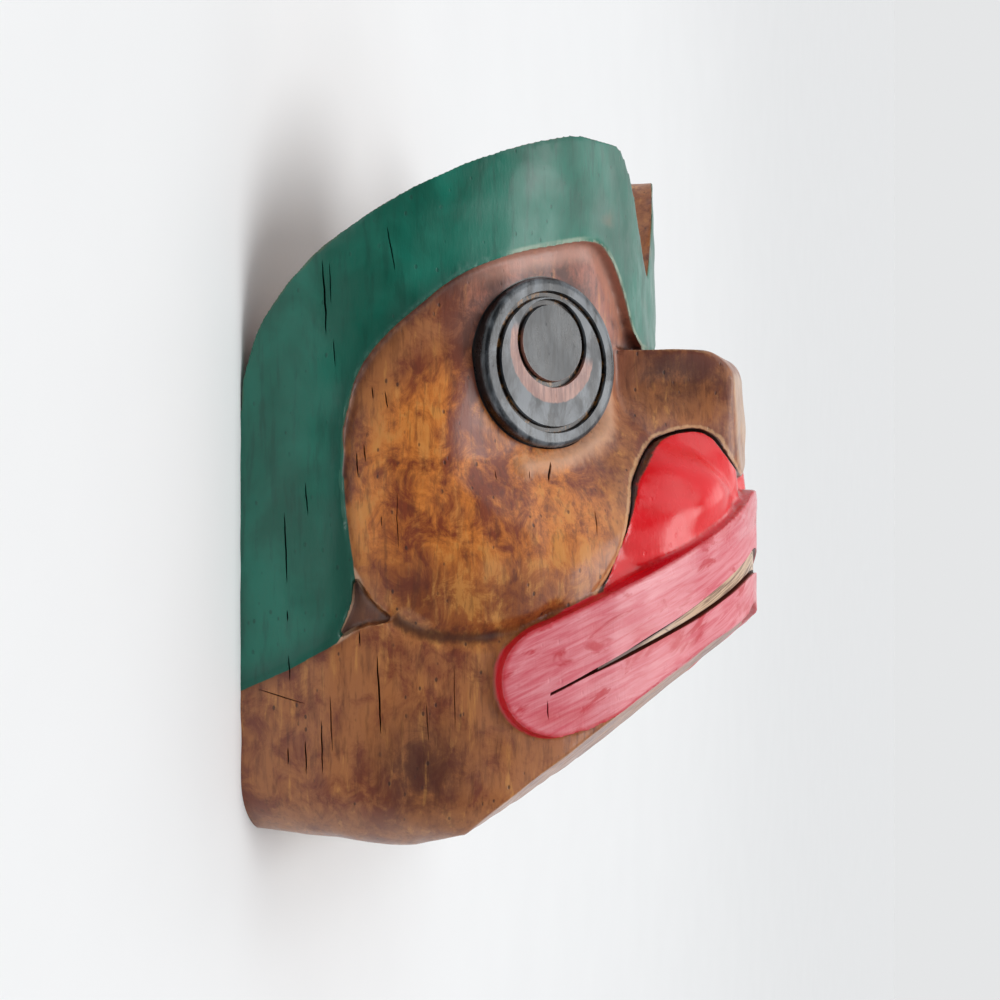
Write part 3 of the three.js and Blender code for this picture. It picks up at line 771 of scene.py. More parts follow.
def tongue(side):
    reach = TONGUE_END_ANGLE + PAST_END_ANGLE
    top = set_back(lip_radius, TONGUE_SINK)
    block = radial_block(top, CORE_RADIUS, steps(-reach, reach, 80), steps(*SLIT_HEIGHTS, 60))
    return keep_inside(block, radial_cutter(slit_outline(TONGUE_END_ANGLE, TONGUE_CLEARANCE), side))


# Slow waves of a few random directions, for hand-cut surfaces; the same each run
def waves(points, size, seed):
    random = np.random.default_rng(seed)
    total = np.zeros(len(points))
    for _ in range(WAVE_COUNT):
        direction = random.normal(size=3)
        direction /= np.linalg.norm(direction)
        length = size * random.uniform(0.7, 1.6)
        total += np.sin(points @ direction * 2 * math.pi / length + random.uniform(0, 2 * math.pi))
    return total / math.sqrt(WAVE_COUNT / 2)


# Places or normals of a mesh's points, as rows of three numbers
def point_rows(mesh, field="co"):
    values = np.empty(len(mesh.vertices) * 3)
    mesh.vertices.foreach_get(field, values)
    return values.reshape(-1, 3)


def move_points(mesh, places):
    mesh.vertices.foreach_set("co", places.ravel())
    mesh.update()


# Face, headband, snout, flaps and lips, softened as one carved surface
def carved_body():
    body = face_body()
    unite(body, headband())
    unite(body, snout())
    for side in (1, -1):
        cut(body, corner_hollow(side))
        cut(body, radial_cutter(flap_outline(), side))
    for side in (1, -1):
        unite(body, keep_inside(flap_block(side), radial_cutter(flap_outline(), side)))
    unite(body, lips())
    for cutter in (under_chin(), underside(), over_crown(), notch(), hollow_back()):
        cut(body, cutter)
    use_modifier(body, "REMESH", mode="VOXEL", voxel_size=VOXEL, adaptivity=0)
    use_modifier(body, "SMOOTH", factor=0.5, iterations=3)
    points = point_rows(body.data)
    outside = TOOL_MARK_DEPTH * (waves(points, TOOL_MARK_SIZE, 3) - 2)
    marks = mix(outside, GOUGE_DEPTH * tool_facets(points), inner_share(points))
    move_points(body.data, points + point_rows(body.data, "normal") * marks[:, None])
    cavities = hollowness(body.data)
    body.data.calc_loop_triangles()
    use_modifier(body, "DECIMATE", ratio=min(1, CARVED_TRIANGLES / len(body.data.loop_triangles)))
    return body, cavities


# How far each point of an even mesh lies below its surroundings, close by and further off
def hollowness(mesh):
    points = point_rows(mesh)
    normals = point_rows(mesh, "normal")
    edges = np.empty(len(mesh.edges) * 2, int)
    mesh.edges.foreach_get("vertices", edges)
    edges = edges.reshape(-1, 2)
    tree = KDTree(len(points))
    for index, point in enumerate(points):
        tree.insert(point, index)
    tree.balance()
    values = {}
    spread = points
    for name, rounds in (("fine_cavity", 4), ("broad_cavity", 50)):
        spread = smoothed(spread, edges, rounds)
        values[name] = np.einsum("ij,ij->i", spread - points, normals)
    return tree, values


def inner_share(points):
    angle = np.degrees(np.arctan2(np.abs(points[:, 0]), points[:, 2]))
    radius = np.hypot(points[:, 0], points[:, 2])
    return smooth_step((hollow_radius(angle, points[:, 1]) + INNER_MARGIN - radius) / INNER_FADE)


# Rows of shallow gouge cuts for the hollow, each row set off a little from the one beside it
def tool_facets(points):
    across = points[:, 0] / GOUGE_WIDTH + GOUGE_BEND * waves(points, GOUGE_BEND_SIZE, 8)
    bent = points[:, 1] / GOUGE_LENGTH + STROKE_BEND * waves(points, STROKE_BEND_SIZE, 9)
    along = bent + np.floor(across) * STROKE_SHIFT
    gouge = np.abs(np.mod(across, 1) - 0.5) * 2
    stroke = np.abs(np.mod(along, 1) - 0.5) * 2
    return gouge ** 2 + STROKE_SHARE * stroke ** 2 - FACET_LEVEL


# A thin wedge of air along a line on the face, closing at both ends
def wedge(line, width, side, surface):
    angles, heights = np.array(line, float).T
    shares = np.linspace(0, 1, len(line))
    run = np.gradient(angles) * ARC_PER_DEGREE
    rise = np.gradient(heights)
    length = np.hypot(run, rise)
    opening = width * mix(CRACK_END_SHARE, 1, np.sqrt(np.sin(math.pi * shares)))
    half = opening / 2 * (1 + CRACK_LIFT / (2 * opening))
    across = half * rise / length / ARC_PER_DEGREE
    upward = -half * run / length
    radii = np.array([surface_radius(surface, *place, side) for place in line])
    left = points_at(angles - across, heights - upward, radii + CRACK_LIFT, side)
    right = points_at(angles + across, heights + upward, radii + CRACK_LIFT, side)
    deep = points_at(angles, heights, radii - 2 * opening, side)
    corners = np.stack([left, right, deep], axis=1).reshape(-1, 3)
    faces = [(0, 1, 2), (len(corners) - 1, len(corners) - 2, len(corners) - 3)]
    for row in range(0, len(corners) - 3, 3):
        for here, there in ((0, 1), (1, 2), (2, 0)):
            faces.append((row + here, row + here + 3, row + there + 3, row + there))
    return outward_facing(piece_from("wedge", corners, faces))


# Radius of the finished surface at an angle and a height, met from outside
def surface_radius(surface, angle, height, side):
    outside = Vector(points_at(angle, height, CUT_REACH, side)[0])
    axis = Vector((0, height, 0))
    met = surface.ray_cast(outside, (axis - outside).normalized())[0]
    return math.hypot(met.x, met.z)


def crack_line(start, end, random):
    length = math.hypot((end[0] - start[0]) * ARC_PER_DEGREE, end[1] - start[1])
    count = max(4, round(length / CRACK_STEP)) + 1
    shares = np.linspace(0, 1, count)
    wander = np.cumsum(random.normal(size=count)) * CRACK_WANDER
    wander -= np.linspace(wander[0], wander[-1], count)
    return list(zip(mix(start[0], end[0], shares) + wander, mix(start[1], end[1], shares)))


# Cracks of the side that the photograph shows, and a few on the other side
def crack_wedges(surface):
    random = np.random.default_rng(21)
    wedges = []
    for start_angle, top, end_angle, bottom, width in CRACKS:
        line = crack_line((start_angle, top), (end_angle, bottom), random)
        wedges.append(wedge(line, width, -1, surface))
    for _ in range(FAR_SIDE_CRACKS):
        angle = random.uniform(*FAR_CRACK_ANGLES)
        top = random.uniform(*FAR_CRACK_TOPS)
        bottom = (angle - FAR_CRACK_LEAN, top - random.uniform(*FAR_CRACK_LENGTHS))
        line = crack_line((angle, top), bottom, random)
        wedges.append(wedge(line, random.uniform(*FAR_CRACK_WIDTHS), 1, surface))
    return wedges


# The line cut round the nostril flap, from the lip over the top to the front of the snout
def flap_wedge(side, surface):
    line = [
        (angle, height) for angle, height in flap_outline()
        if angle > FLAP_LINE_START and height > lip_edge(LIP_TOP, angle)
    ]
    return wedge(line, FLAP_LINE_WIDTH, side, surface)


def crack_depth(mesh, surface):
    return [surface.find_nearest(vertex.co)[3] for vertex in mesh.vertices]


def carving():
    body, cavities = carved_body()
    for side in (1, -1):
        cut(body, slit(side))
    for side in (1, -1):
        unite(body, tongue(side))
    cut(body, behind_rim())
    surface = BVHTree.FromObject(body, bpy.context.evaluated_depsgraph_get())
    for cutter in (*crack_wedges(surface), flap_wedge(1, surface), flap_wedge(-1, surface)):
        cut(body, cutter)
    keep_number(body.data, "crack", crack_depth(body.data, surface))
    return body, cavities


# Eye: a lathed disc with a ring groove, and a pupil cut out by a second groove
EYE_FACETS = 144
EYE_BEVEL = 1.8
EYE_DOME = 0.5
EYE_GROOVE_LEAN = 0.5
PUPIL_GROOVE_LEAN = 0.4
PUPIL_CUT_LEAN = 0.6
PUPIL_CUT_TOP = 3


def lathe(profile, side, rise=0):
    corners = []
    faces = []
    rows = len(profile)
    for turn in range(EYE_FACETS):
        angle = 2 * math.pi * turn / EYE_FACETS
        for radius, height in profile:
            corners.append((radius * math.cos(angle), radius * math.sin(angle) + rise, height))
    for turn in range(EYE_FACETS):
        following = (turn + 1) % EYE_FACETS
        for row in range(rows - 1):
            here = turn * rows + row
            there = following * rows + row
            faces.append((here, there, there + 1, here + 1))
    piece = outward_facing(piece_from("disc", corners, faces))
    piece.data.transform(eye_matrix(side))
    if side < 0:
        piece.data.flip_normals()
    return piece


def placed(place, axes):
    return Matrix.Translation(place) @ Matrix(axes).transposed().to_4x4()


# The disc's own axes: x forward along the face, y up, z out of the eye
def eye_axes():
    turn = math.radians(EYE_TURN)
    tilt = math.radians(EYE_TILT)
    out = Vector((math.cos(turn) * math.cos(tilt), math.sin(tilt), math.sin(turn) * math.cos(tilt)))
    up = (Vector((0, 1, 0)) - out * out.y).normalized()
    return up.cross(out), up, out


def eye_matrix(side):
    return Matrix.Diagonal((side, 1, 1, 1)) @ placed(EYE_PLACE, eye_axes())


def dome(radius):
    return -EYE_DOME * (radius / EYE_RADIUS) ** 2


def eye(side):
    inner, outer = EYE_GROOVE
    flat = [(radius, dome(radius)) for radius in np.linspace(0, inner, 16)]
    ring = [(radius, dome(radius)) for radius in np.linspace(outer, EYE_RADIUS - EYE_BEVEL, 5)]
    wall = [
        (EYE_RADIUS - EYE_BEVEL * (1 - math.sin(turn)), dome(EYE_RADIUS) - EYE_BEVEL * (1 - math.cos(turn)))
        for turn in np.linspace(0.3, math.pi / 2, 4)
    ]
    wall += [(EYE_RADIUS, height) for height in np.linspace(-EYE_BEVEL - 2, -EYE_THICKNESS, 8)]
    groove = [(inner + EYE_GROOVE_LEAN, -GROOVE_DEPTH), (outer - EYE_GROOVE_LEAN, -GROOVE_DEPTH)]
    disc = lathe([*flat, *groove, *ring, *wall, (0, -EYE_THICKNESS)], side)
    inner, outer = PUPIL_GROOVE
    trough = [
        (inner + PUPIL_GROOVE_LEAN, -GROOVE_DEPTH), (outer - PUPIL_GROOVE_LEAN, -GROOVE_DEPTH),
        (outer + PUPIL_CUT_LEAN, PUPIL_CUT_TOP), (inner - PUPIL_CUT_LEAN, PUPIL_CUT_TOP),
    ]
    cut(disc, lathe([*trough, trough[0]], side, PUPIL_RISE))
    return disc


# What the materials need to know of each point, kept as numbers on the mesh
def keep_number(mesh, name, values):
    attribute = mesh.attributes.new(name, "FLOAT", "POINT")
    attribute.data.foreach_set("value", np.asarray(values, np.float32))


def smoothed(points, edges, rounds):
    counts = np.maximum(1, np.bincount(edges.ravel(), minlength=len(points)))[:, None]
    for _ in range(rounds):
        total = np.zeros_like(points)
        np.add.at(total, edges[:, 0], points[edges[:, 1]])
        np.add.at(total, edges[:, 1], points[edges[:, 0]])
        points = total / counts
    return points


def describe(piece, cavities):
    mesh = piece.data
    points = point_rows(mesh)
    angle = np.degrees(np.arctan2(np.abs(points[:, 0]), points[:, 2]))
    radius = np.hypot(points[:, 0], points[:, 2])
    height = points[:, 1]
    from_cheek = distance_from(CHEEK_MIDDLE, angle, height)
    from_eye = distance_from(EYE_STAIN_MIDDLE, angle, height)
    on_jaw = share_from(JAW_STAIN_MIDDLE, JAW_STAIN_REACH, angle, height)
    on_snout = share_from(SNOUT_SHADE_MIDDLE, SNOUT_SHADE_REACH, angle, height)
    numbers = {
        "angle": angle,
        "height": height,
        "nose": points[:, 2] + 0.05 * height,
        "band_in": -inside_distance(angle, height, band_opening()),
        "band_depth": head_radius(angle, height) - radius,
        "flap_in": inside_distance(angle, height, flap_outline()),
        "lip_in": inside_distance(angle, height, lip_outline()),
        "lip_depth": lip_radius(angle) - radius,
        "along_lip": np.sign(points[:, 0]) * angle * LIP_ARC_PER_DEGREE,
        "across_lip": height - lip_edge(0, angle),
        "slit_in": inside_distance(angle, height, slit_outline(SLIT_END_ANGLE, 0)),
        "corner_in": inside_distance(angle, height, corner_outline()),
        "inner": inner_share(points),
        "hollow_gap": radius - hollow_radius(angle, height),
        "cheek": smooth_step((CHEEK_RADIUS + CHEEK_FADE / 4 - from_cheek) / CHEEK_FADE),
        "socket": smooth_step((EYE_STAIN_REACH - from_eye) / STAIN_FADE),
        "stain": smooth_step(1 - np.minimum(on_jaw, on_snout)),
        "cheek_line": line_distance(angle, height, smooth_line(CHEEK_GROOVE, 24)),
        "ridge_line": line_distance(angle, height, smooth_line(EYE_RIDGE, 12)),
    }
    tree, cavity_values = cavities
    nearest = [tree.find(point) for point in points]
    share = np.array([max(0, 1 - distance / 2) for _, _, distance in nearest])
    indices = [index for _, index, _ in nearest]
    for name, values in cavity_values.items():
        numbers[name] = values[indices] * share
    for name, values in numbers.items():
        keep_number(mesh, name, values)


def finish_piece(piece, name):
    piece.name = name
    piece.data.name = name
    mesh = piece.data
    mesh.shade_smooth()
    mesh.set_sharp_from_angle(angle=math.radians(SHARP_ANGLE))
    mesh.transform(Matrix.Translation((0, -MIDDLE_HEIGHT / 1000, 0)) @ Matrix.Scale(0.001, 4))
    move_points(mesh, np.clip(point_rows(mesh), *np.array(cad_box)))


mask, mask_cavities = carving()
for eye_side in (1, -1):
    unite(mask, eye(eye_side))
describe(mask, mask_cavities)
finish_piece(mask, "frog_mask")


# Colours are given as a screen shows them, 0 to 255
def colour(red, green, blue):
    def linear(value):
        value /= 255
        return value / 12.92 if value <= 0.04045 else ((value + 0.055) / 1.055) ** 2.4
    return (linear(red), linear(green), linear(blue), 1)


# A number or colour in a material's nodes, worked on with the usual signs
class Value:
    def __init__(self, shade, socket):
        self.shade = shade
        self.socket = socket

    def __add__(self, other):
        return self.shade.math("ADD", self, other)

    def __sub__(self, other):
        return self.shade.math("SUBTRACT", self, other)

    def __rsub__(self, other):
        return self.shade.math("SUBTRACT", other, self)

    def __mul__(self, other):
        return self.shade.math("MULTIPLY", self, other)

    def __abs__(self):
        return self.shade.math("ABSOLUTE", self)

    def at_least(self, other):
        return self.shade.math("MAXIMUM", self, other)

    # The start value as far as the first limit, the end value past the second, smooth in between
    def ramp(self, first, second, start=0, end=1):
        values = {"Value": self, "From Min": first, "From Max": second, "To Min": start, "To Max": end}
        return self.shade.add("ShaderNodeMapRange", values, interpolation_type="SMOOTHSTEP")

    # Layers of paint, each a colour and how far it covers what lies under it
    def painted(self, *layers):
        tone = self
        for paint, share in layers:
            tone = self.shade.blend(share, tone, paint)
        return tone


# Short names for laying out a material's nodes
class Shade:
    def __init__(self, name):
        self.material = bpy.data.materials.new(name)
        self.material.use_nodes = True
        self.tree = self.material.node_tree
        self.tree.nodes.clear()
        self.shader = self.tree.nodes.new("ShaderNodeBsdfPrincipled")
        output = self.tree.nodes.new("ShaderNodeOutputMaterial")
        self.tree.links.new(self.shader.outputs["BSDF"], output.inputs["Surface"])

    # Inputs of a node, each a value of another node, a number or a colour
    def fill(self, node, values):
        for name, value in values.items():
            socket = node.inputs[name]
            if isinstance(value, Value):
                self.tree.links.new(value.socket, socket)
            else:
                socket.default_value = colour(*value) if socket.type == "RGBA" else value

    def finished(self, values):
        self.fill(self.shader, values)
        return self.material

    def add(self, kind, values, output=0, **settings):
        node = self.tree.nodes.new(kind)
        for name, value in settings.items():
            setattr(node, name, value)
        self.fill(node, values)
        return Value(self, node.outputs[output])

    def number(self, name):
        return self.add("ShaderNodeAttribute", {}, "Fac", attribute_name=name)

    def place(self):
        coordinates = self.add("ShaderNodeTexCoord", {}, "Object")
        return self.add("ShaderNodeVectorMath", {0: coordinates, "Scale": 1000}, operation="SCALE")

    def vector(self, operation, first, second, output=0):
        return self.add("ShaderNodeVectorMath", {0: first, 1: second}, output, operation=operation)

    def math(self, operation, first, second=0):
        return self.add("ShaderNodeMath", {0: first, 1: second}, operation=operation)

    def blend(self, share, first, second):
        return self.add("ShaderNodeMix", {0: share, 6: first, 7: second}, 2, data_type="RGBA")

    # Millimetres turned into steps of a pattern of a given size, longer where it is stretched
    def spread(self, place, size, stretch):
        return self.vector("MULTIPLY", place, tuple(1 / (size * part) for part in stretch))

    def noise(self, place, size, stretch=(1, 1, 1), detail=4, roughness=0.6, distortion=0):
        values = {"Vector": self.spread(place, size, stretch), "Scale": 1}
        values.update({"Detail": detail, "Roughness": roughness, "Distortion": distortion})
        return self.add("ShaderNodeTexNoise", values)

    def pits(self, place, size, stretch, share):
        values = {"Vector": self.spread(place, size, stretch), "Scale": 1, "Randomness": 1}
        return self.add("ShaderNodeTexVoronoi", values, "Distance").ramp(share / 2, share, 1, 0)


# Stained wood: amber on the cheek, purplish round the eye and on the snout, browner on the jaw, with painted
# shade on the cheek's lower part and on top of the snout's side
def stained_and_shaded_wood(shade, place):
    burl = shade.noise(place, 8, (1, 1.3, 1), 8, 0.7, 0.5)
    cloud = shade.noise(place, 26, (1, 1.5, 1), 4, 0.55, 0.4)
    grain = shade.noise(place, 1.4, (1, 7, 1))
    strokes = shade.noise(place, 3.2, (1, 8, 1), distortion=0.3)
    cheek = shade.number("cheek")
    mottle = burl + (cloud - 0.5) * 0.7
    dark = mottle.ramp(0.4, 0.66)
    amber = shade.blend(dark, (222, 132, 56), (134, 60, 30))
    jaw = shade.blend(dark, (176, 110, 64), (128, 64, 42))
    purple = shade.blend(dark, (168, 96, 74), (90, 48, 36))
    # Painted shade: the cheek's lower part darker towards the jaw
    low_cheek = shade.number("height").ramp(-8, -32) * cheek * cloud.ramp(0.3, 0.6, 0.5, 1)
    tone = jaw.painted(
        (amber, cheek),
        (purple, shade.number("socket")),
        ((108, 50, 30), low_cheek * 0.85),
        # Darkest stain low on the jaw, and painted shade on top of the snout's side
        ((74, 40, 34), shade.number("stain") * burl.ramp(0.25, 0.52) * 0.85),
        ((224, 158, 80), mottle.ramp(0.46, 0.34) * cheek * 0.5),
        ((226, 160, 86), strokes.ramp(0.54, 0.72, 0, 0.5) * (1 - dark)),
        ((92, 44, 28), strokes.ramp(0.3, 0.46, 0.35, 0)),
        ((78, 38, 24), grain.ramp(0.34, 0.5, 0.35, 0)),
    )
    return tone, grain, strokes


# Green stain, thin in small places, darker in streaks along the grain, and with painted shade near its lower
# edge on the side of the head
def green_paint_and_shade(shade, place, strokes, aside, wear):
    cloud = shade.noise(place, 26, (1, 1.6, 1), 4, 0.55, 0.5)
    thin = shade.noise(place, 9, (1, 1.8, 1), 5, 0.66).ramp(0.69, 0.75, 0, 0.5)
    return shade.blend(cloud.ramp(0.34, 0.66), (6, 94, 76), (18, 120, 100)).painted(
        ((4, 64, 52), strokes.ramp(0.3, 0.5, 0.4, 0)),
        # Painted shade: darker green near the band's lower edge on the side
        ((4, 52, 42), shade.number("band_in").ramp(1, 9, 0.45, 0) * aside),
        ((132, 110, 56), thin * strokes.ramp(0.4, 0.6, 0.3, 1)),
        ((126, 104, 60), wear),
    )


# A place measured along and across the lips
def lip_place(shade):
    values = {"X": shade.number("along_lip"), "Y": shade.number("across_lip")}
    return shade.add("ShaderNodeCombineXYZ", values)


# Lips: brushed pinkish red on the faces, partly painted sheen over the red paint, pure red round the edges
# and in patches
def lip_paint_and_sheen(shade, arris):
    brush = shade.noise(lip_place(shade), 1.6, (9, 1, 1), distortion=0.6)
    blotch = shade.noise(lip_place(shade), 8, (2, 1, 1), distortion=0.8)
    patch = blotch + (brush - 0.5) * 0.25
    edge = (shade.number("lip_in") + blotch * 1.6).ramp(1.4, 3, 1, 0)
    wall = shade.number("lip_depth").ramp(0.4, 1)
    # The pink on the lip faces is partly painted sheen
    return shade.blend(brush.ramp(0.26, 0.74), (220, 84, 100), (240, 150, 158)).painted(
        ((204, 32, 50), patch.ramp(0.55, 0.66, 0, 0.85)),
        ((206, 16, 34), wall.at_least(edge * 0.7).at_least(arris)),
    )


# Bare and rubbed places of the stained wood, and painted shade and painted highlights, by the lines that
# they follow
def wood_wear_and_painted_light(shade, tone, ragged, arris, groove, specks, aside):
    uneven = ragged - 0.5
    band_in = shade.number("band_in")
    corner_in = shade.number("corner_in")
    height = shade.number("height")
    socket = shade.number("socket")
    off_lip = shade.number("lip_in").ramp(-5, -1.5, 1, 0.25)
    beside_band = band_in + uneven * 2
    corner_wall_highlight = corner_in.ramp(-1.6, -0.6) * corner_in.ramp(0.2, 0.7, 1, 0) * band_in.ramp(-4, -2)
    snout_front_highlight = (shade.number("nose") + uneven).ramp(142.6, 143.6) * height.ramp(6, 12)
    beside_flap = shade.number("flap_in") + uneven * FLAP_LINE_WANDER
    flap_bevel_highlight = beside_flap.ramp(-2, -1.3) * beside_flap.ramp(-0.9, -0.6, 1, 0)
    return tone.painted(
        ((46, 24, 18), specks * 0.75),
        ((206, 158, 108), arris * 0.55),
        # Painted shade in hollows and creases
        ((52, 26, 20), groove * (1 - socket * 0.55) * off_lip * 0.75),
        # Painted shade along the fold under the cheek
        ((58, 26, 18), (shade.number("cheek_line") + uneven * 3).ramp(0.4, 3.2, 0.75, 0) * off_lip),
        # Painted highlight along the ridge under the eye
        ((232, 180, 144), (shade.number("ridge_line") + uneven * 5).ramp(0, 5.5, 0.65, 0)),
        # Painted shadow just below the headband's edge on the side of the head
        ((74, 34, 26), beside_band.ramp(-5, -0.6, 0, 0.4) * aside),
        # Painted highlight: a pinkish band below the headband's edge round the eye
        ((216, 160, 140), beside_band.ramp(-8, -3, 0, 0.6) * socket * (1 - aside) * (1 - arris)),
        # Painted reflection: paler towards the bottom edge
        ((168, 130, 110), height.ramp(-102, -92, 0.35, 0)),
        ((118, 86, 76), corner_in.ramp(0.2, 1.2, 0, 0.6)),
        # Painted highlight on the wall of the three-sided hollow
        ((206, 168, 140), corner_wall_highlight * 0.7),
        # Painted highlight along the snout's front
        ((216, 186, 158), snout_front_highlight * 0.6),
        # Painted highlight on the raised brown edge beside the flap's cut line
        ((226, 178, 128), flap_bevel_highlight * ragged.ramp(0.3, 0.6, 0.3, 0.65)),
    )


def carved_material():
    shade = Shade("carved_and_painted_wood")
    place = shade.place()
    fine = shade.noise(place, 0.8, (1, 5, 1), 3)
    ragged = shade.noise(place, 2.2, (1, 1.6, 1))
    uneven = ragged - 0.5
    wood, grain, strokes = stained_and_shaded_wood(shade, place)
    band_in = shade.number("band_in")
    flap_in = shade.number("flap_in")
    slit_in = shade.number("slit_in")
    lip_depth = shade.number("lip_depth")
    fine_cavity = shade.number("fine_cavity")
    # Painted shade in hollows and creases, darker the deeper they lie
    groove = fine_cavity.ramp(0.05, 0.34).at_least(shade.number("broad_cavity").ramp(0.5, 2.4, 0, 0.75))
    arris = (fine_cavity * -1 + uneven * 0.25).ramp(0.16, 0.36) * abs(band_in).ramp(1.5, 3.5)
    specks = shade.pits(place, 3.4, (1, 1.7, 1), 0.17) * strokes.ramp(0.42, 0.56)
    aside = shade.number("angle").ramp(44, 58)

    edge = band_in + uneven * 0.5 + aside * 0.8
    depth = shade.number("band_depth") - aside * 2.4
    # Painted highlight along the headband's proud edge
    band_edge_highlight = depth.ramp(0.15, 0.5) * (1 - aside) * edge.ramp(1.3, 2.3, 1, 0)
    green = green_paint_and_shade(shade, place, strokes, aside, arris * 0.3).painted(
        ((196, 206, 184), band_edge_highlight * 0.6),
        ((10, 38, 34), specks * 0.4),
    )
    blotch = shade.noise(place, 11, (1.3, 1, 1.3), distortion=0.6)
    flap_red = shade.blend(blotch.ramp(0.35, 0.7), (236, 6, 20), (244, 20, 34))
    lengthwise = shade.noise(lip_place(shade), 1.1, (16, 1, 1), distortion=0.3)
    tongue_tone = shade.blend(lengthwise.ramp(0.36, 0.56), (120, 82, 58), (216, 182, 148))
    tongue_share = slit_in.ramp(0.7, 1.2) * lip_depth.ramp(2.2, 3.4, 1, 0)
    slit_tone = shade.blend(tongue_share, (96, 52, 36), tongue_tone)
    raw = shade.blend(strokes.ramp(0.35, 0.65), (140, 98, 66), (194, 150, 106))
    eye_share, eye_tone = eye_paint_and_light(shade, place, grain, ragged)

    on_flap = (flap_in + uneven * 0.5).ramp(0.35, 0.7) * (1 - shade.number("inner"))
    on_lip = shade.number("lip_in").ramp(-0.75, -0.45) * lip_depth.ramp(4.2, 5.2, 1, 0)
    in_hollow = shade.number("hollow_gap").ramp(0.5, 1.2, 1, 0)
    tone = wood_wear_and_painted_light(shade, wood, ragged, arris, groove, specks, aside).painted(
        (green, edge.ramp(-0.3, 0.1) * depth.ramp(0.5, 1, 1, 0)),
        # Painted shade in the cut line round the nostril flap
        ((66, 36, 28), abs(flap_in + uneven * FLAP_LINE_WANDER).ramp(0.4, 0.7, 1, 0) * 0.85),
        # Painted shade darkens the red in the flap's hollows
        (flap_red.painted(((110, 6, 18), groove * 0.4)), on_flap),
        (lip_paint_and_sheen(shade, arris), on_lip),
        (slit_tone, slit_in.ramp(-0.25, 0.05) * lip_depth.ramp(0.5, 1.1)),
        # Painted shade darkens the hollow back's gouge cuts
        (raw.painted(((70, 44, 28), groove * 0.5)), in_hollow),
        (eye_tone, eye_share),
        # Painted shade inside the cracks, darker the deeper they go
        ((30, 17, 13), shade.number("crack").ramp(0.06, 0.45, 0, 0.9)),
    )
    rough = shade.noise(place, 6, (1, 2, 1)).ramp(0.3, 0.7, 0.32, 0.5)
    rough = rough + (in_hollow * 0.35).at_least(abs(band_in).ramp(0.8, 2.4, 0.3, 0))
    rough = rough - on_flap * 0.16 - eye_share * 0.1
    relief = grain * 0.5 + fine * 0.4 + specks * -0.8 + ragged * 0.5
    return shade.finished({
        "Base Color": tone,
        "Roughness": rough,
        "Specular IOR Level": 0.4,
        "Coat Weight": 0.3,
        "Coat Roughness": 0.18,
        "Normal": shade.add("ShaderNodeBump", {"Height": relief, "Distance": 0.00022, "Strength": 0.5}),
    })


# Eye colours by distance from the disc's middle: black rings, a pinkish crescent and a black pupil, with
# grey patches of painted reflection and painted shade in the grooves
def eye_paint_and_light(shade, place, grain, ragged):
    mirrored = shade.vector("MULTIPLY", shade.vector("ABSOLUTE", place, (0, 0, 0)), (1, 0, 0))
    rest = shade.vector("MULTIPLY", place, (0, 1, 1))
    middle = (EYE_PLACE[0], EYE_PLACE[1] - MIDDLE_HEIGHT, EYE_PLACE[2])
    local = shade.vector("SUBTRACT", shade.vector("ADD", mirrored, rest), middle)
    forward, upward, level = [
        shade.vector("DOT_PRODUCT", local, tuple(axis), "Value") for axis in eye_axes()
    ]

    def from_middle(rise):
        lifted = upward - rise
        return shade.math("SQRT", lifted * lifted + forward * forward)

    disc = from_middle(0)
    share = disc.ramp(EYE_RADIUS + 0.25, EYE_RADIUS + 0.55, 1, 0)
    share = share * level.ramp(-EYE_THICKNESS, -EYE_THICKNESS + 1) * (1 - shade.number("inner"))
    # Patches of painted reflection on the black
    grey_reflection = shade.noise(place, 7, (1, 2.2, 1), distortion=0.4)
    edge = from_middle(CRESCENT_RISE) + (ragged - 0.5) * 1.2
    crescent = edge.ramp(CRESCENT_RADIUS - 0.3, CRESCENT_RADIUS + 0.3, 1, 0)
    in_pupil = from_middle(PUPIL_RISE).ramp(PUPIL_GROOVE[0] - 0.2, PUPIL_GROOVE[0] + 0.2, 1, 0)
    trough = level.ramp(-0.75, -1.5) * disc.ramp(EYE_RADIUS - 2.2, EYE_RADIUS - 1.8, 1, 0)
    pink = shade.blend(grain.ramp(0.35, 0.65), (138, 90, 78), (182, 132, 116))
    pupil = shade.blend(grain.ramp(0.35, 0.7), (20, 23, 26), (56, 62, 66))
    bare = shade.blend(ragged.ramp(0.52, 0.66), (24, 14, 8), (150, 104, 48))
    tone = shade.blend(grain.ramp(0.35, 0.7), (16, 19, 23), (50, 56, 62)).painted(
        ((108, 114, 120), grey_reflection.ramp(0.4, 0.62)),
        # Painted shade in the grooves, darker the deeper they lie
        ((8, 9, 11), level.ramp(-1.6, -3)),
        (pink, crescent * (upward - forward * 0.33).ramp(3, 8, 1, 0)),
        (pupil, in_pupil),
        (bare, trough),
    )
    return share, tone


def floor_material():
    shade = Shade("pale_floor")
    cloud = shade.noise(shade.place(), 60, detail=3, roughness=0.5)
    tone = shade.blend(cloud, (236, 237, 238), (240, 241, 242))
    return shade.finished({"Base Color": tone, "Roughness": 0.9, "Specular IOR Level": 0.1})


mask.data.materials.clear()
mask.data.materials.append(carved_material())
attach(mask, "root")
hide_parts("mask")

# Wide floor, broad lamps before the face and above the crown, and a room dark on the camera's side
FLOOR_REACH = 6.0
FAR_WALL_LIGHT = 0.8
NEAR_SIDE_LIGHT = 0.12


def floor_piece():
    corners = [(-FLOOR_REACH, -FLOOR_REACH, 0), (FLOOR_REACH, -FLOOR_REACH, 0)]
    corners += [(FLOOR_REACH, FLOOR_REACH, 0), (-FLOOR_REACH, FLOOR_REACH, 0)]
    piece = piece_from("floor", corners, [(0, 1, 2, 3)])
    piece.data.materials.append(floor_material())
    return piece


floor_piece()


def aim(piece, place, target, upward=(0, 0, 1)):
    back = (Vector(place) - Vector(target)).normalized()
    right = Vector(upward).cross(back).normalized()
    piece.matrix_world = placed(place, (right, back.cross(right), back))


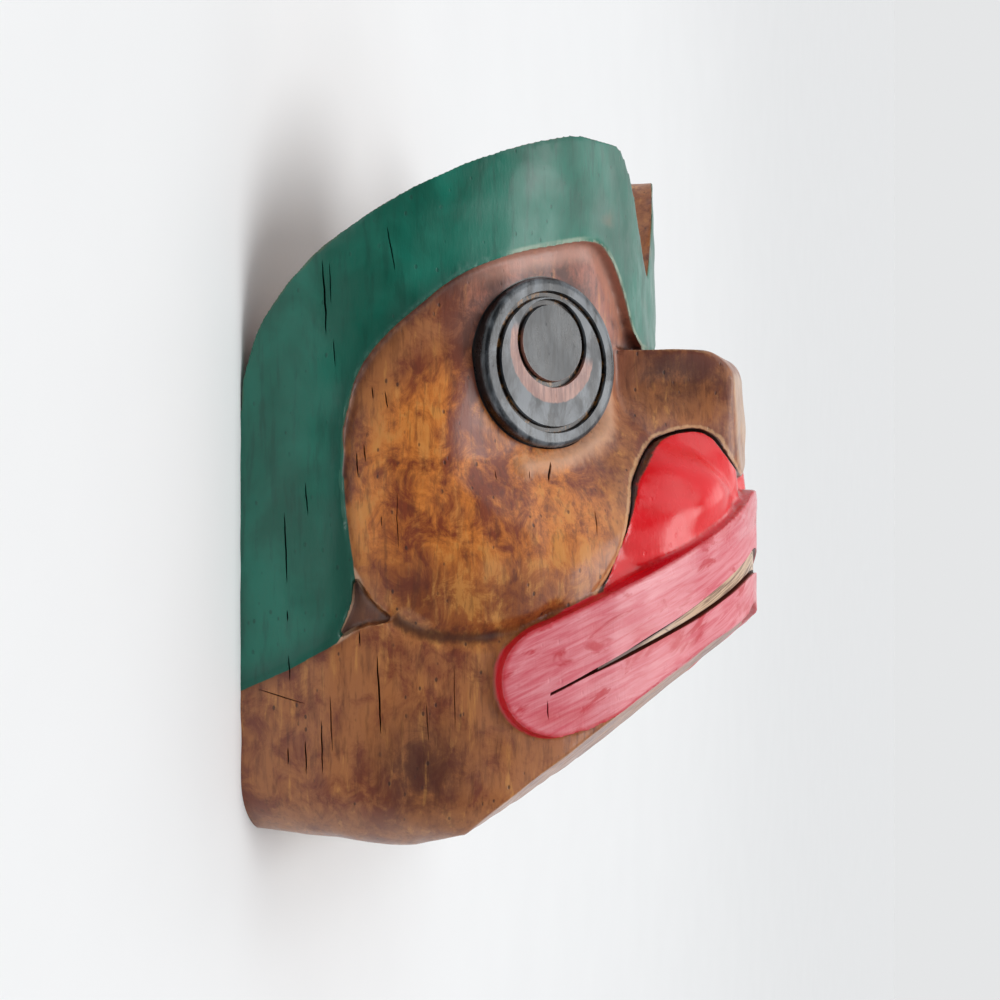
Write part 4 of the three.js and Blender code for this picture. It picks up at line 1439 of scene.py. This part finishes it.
def light(name, kind, place, power, **settings):
    lamp = bpy.data.lights.new(name, kind)
    lamp.energy = power
    for setting, value in settings.items():
        setattr(lamp, setting, value)
    aim(add_object(name, lamp), place, (0, 0, 0.06))


# The room is pale beyond the mask and dark behind the camera
def room():
    world = bpy.data.worlds.new("room")
    world.use_nodes = True
    tree = world.node_tree
    background = tree.nodes["Background"]
    background.inputs["Color"].default_value = (0.98, 0.99, 1.0, 1)
    direction = tree.nodes.new("ShaderNodeTexCoord")
    parts = tree.nodes.new("ShaderNodeSeparateXYZ")
    strength = tree.nodes.new("ShaderNodeMapRange")
    strength.interpolation_type = "SMOOTHSTEP"
    limits = {"From Min": -0.1, "From Max": 0.7, "To Min": NEAR_SIDE_LIGHT, "To Max": FAR_WALL_LIGHT}
    for name, value in limits.items():
        strength.inputs[name].default_value = value
    tree.links.new(direction.outputs["Generated"], parts.inputs["Vector"])
    tree.links.new(parts.outputs["X"], strength.inputs["Value"])
    tree.links.new(strength.outputs["Result"], background.inputs["Strength"])
    bpy.context.scene.world = world


light("front_lamp", "SUN", (-0.05, 0.0, 1.0), 1.45, angle=math.radians(36))
light("high_lamp", "SUN", (-0.1, 0.75, 1.0), 0.55, angle=math.radians(40))
light("far_window", "AREA", (0.6, 0.25, 0.95), 0.9, shape="SQUARE", size=0.45)
light("near_softbox", "AREA", (-0.55, -0.2, 1.0), 1.7, shape="SQUARE", size=0.9)
room()
bpy.context.scene.view_settings.view_transform = "Standard"

# Camera at the photograph's angle, beside the mask and turned so that the crown is up in the picture
CAMERA_PLACE = (-0.6404, -0.0047, 0.2151)
CAMERA_TURN = 14
CAMERA_LENS = 65.96

lens = bpy.data.cameras.new("camera")
lens.lens = CAMERA_LENS
lens.sensor_width = 36
lens.clip_start = 0.01
camera = add_object("camera", lens)
ahead = Vector((math.cos(math.radians(CAMERA_TURN)), 0, -math.sin(math.radians(CAMERA_TURN))))
aim(camera, CAMERA_PLACE, Vector(CAMERA_PLACE) + ahead, (0, 1, 0))
bpy.context.scene.camera = camera
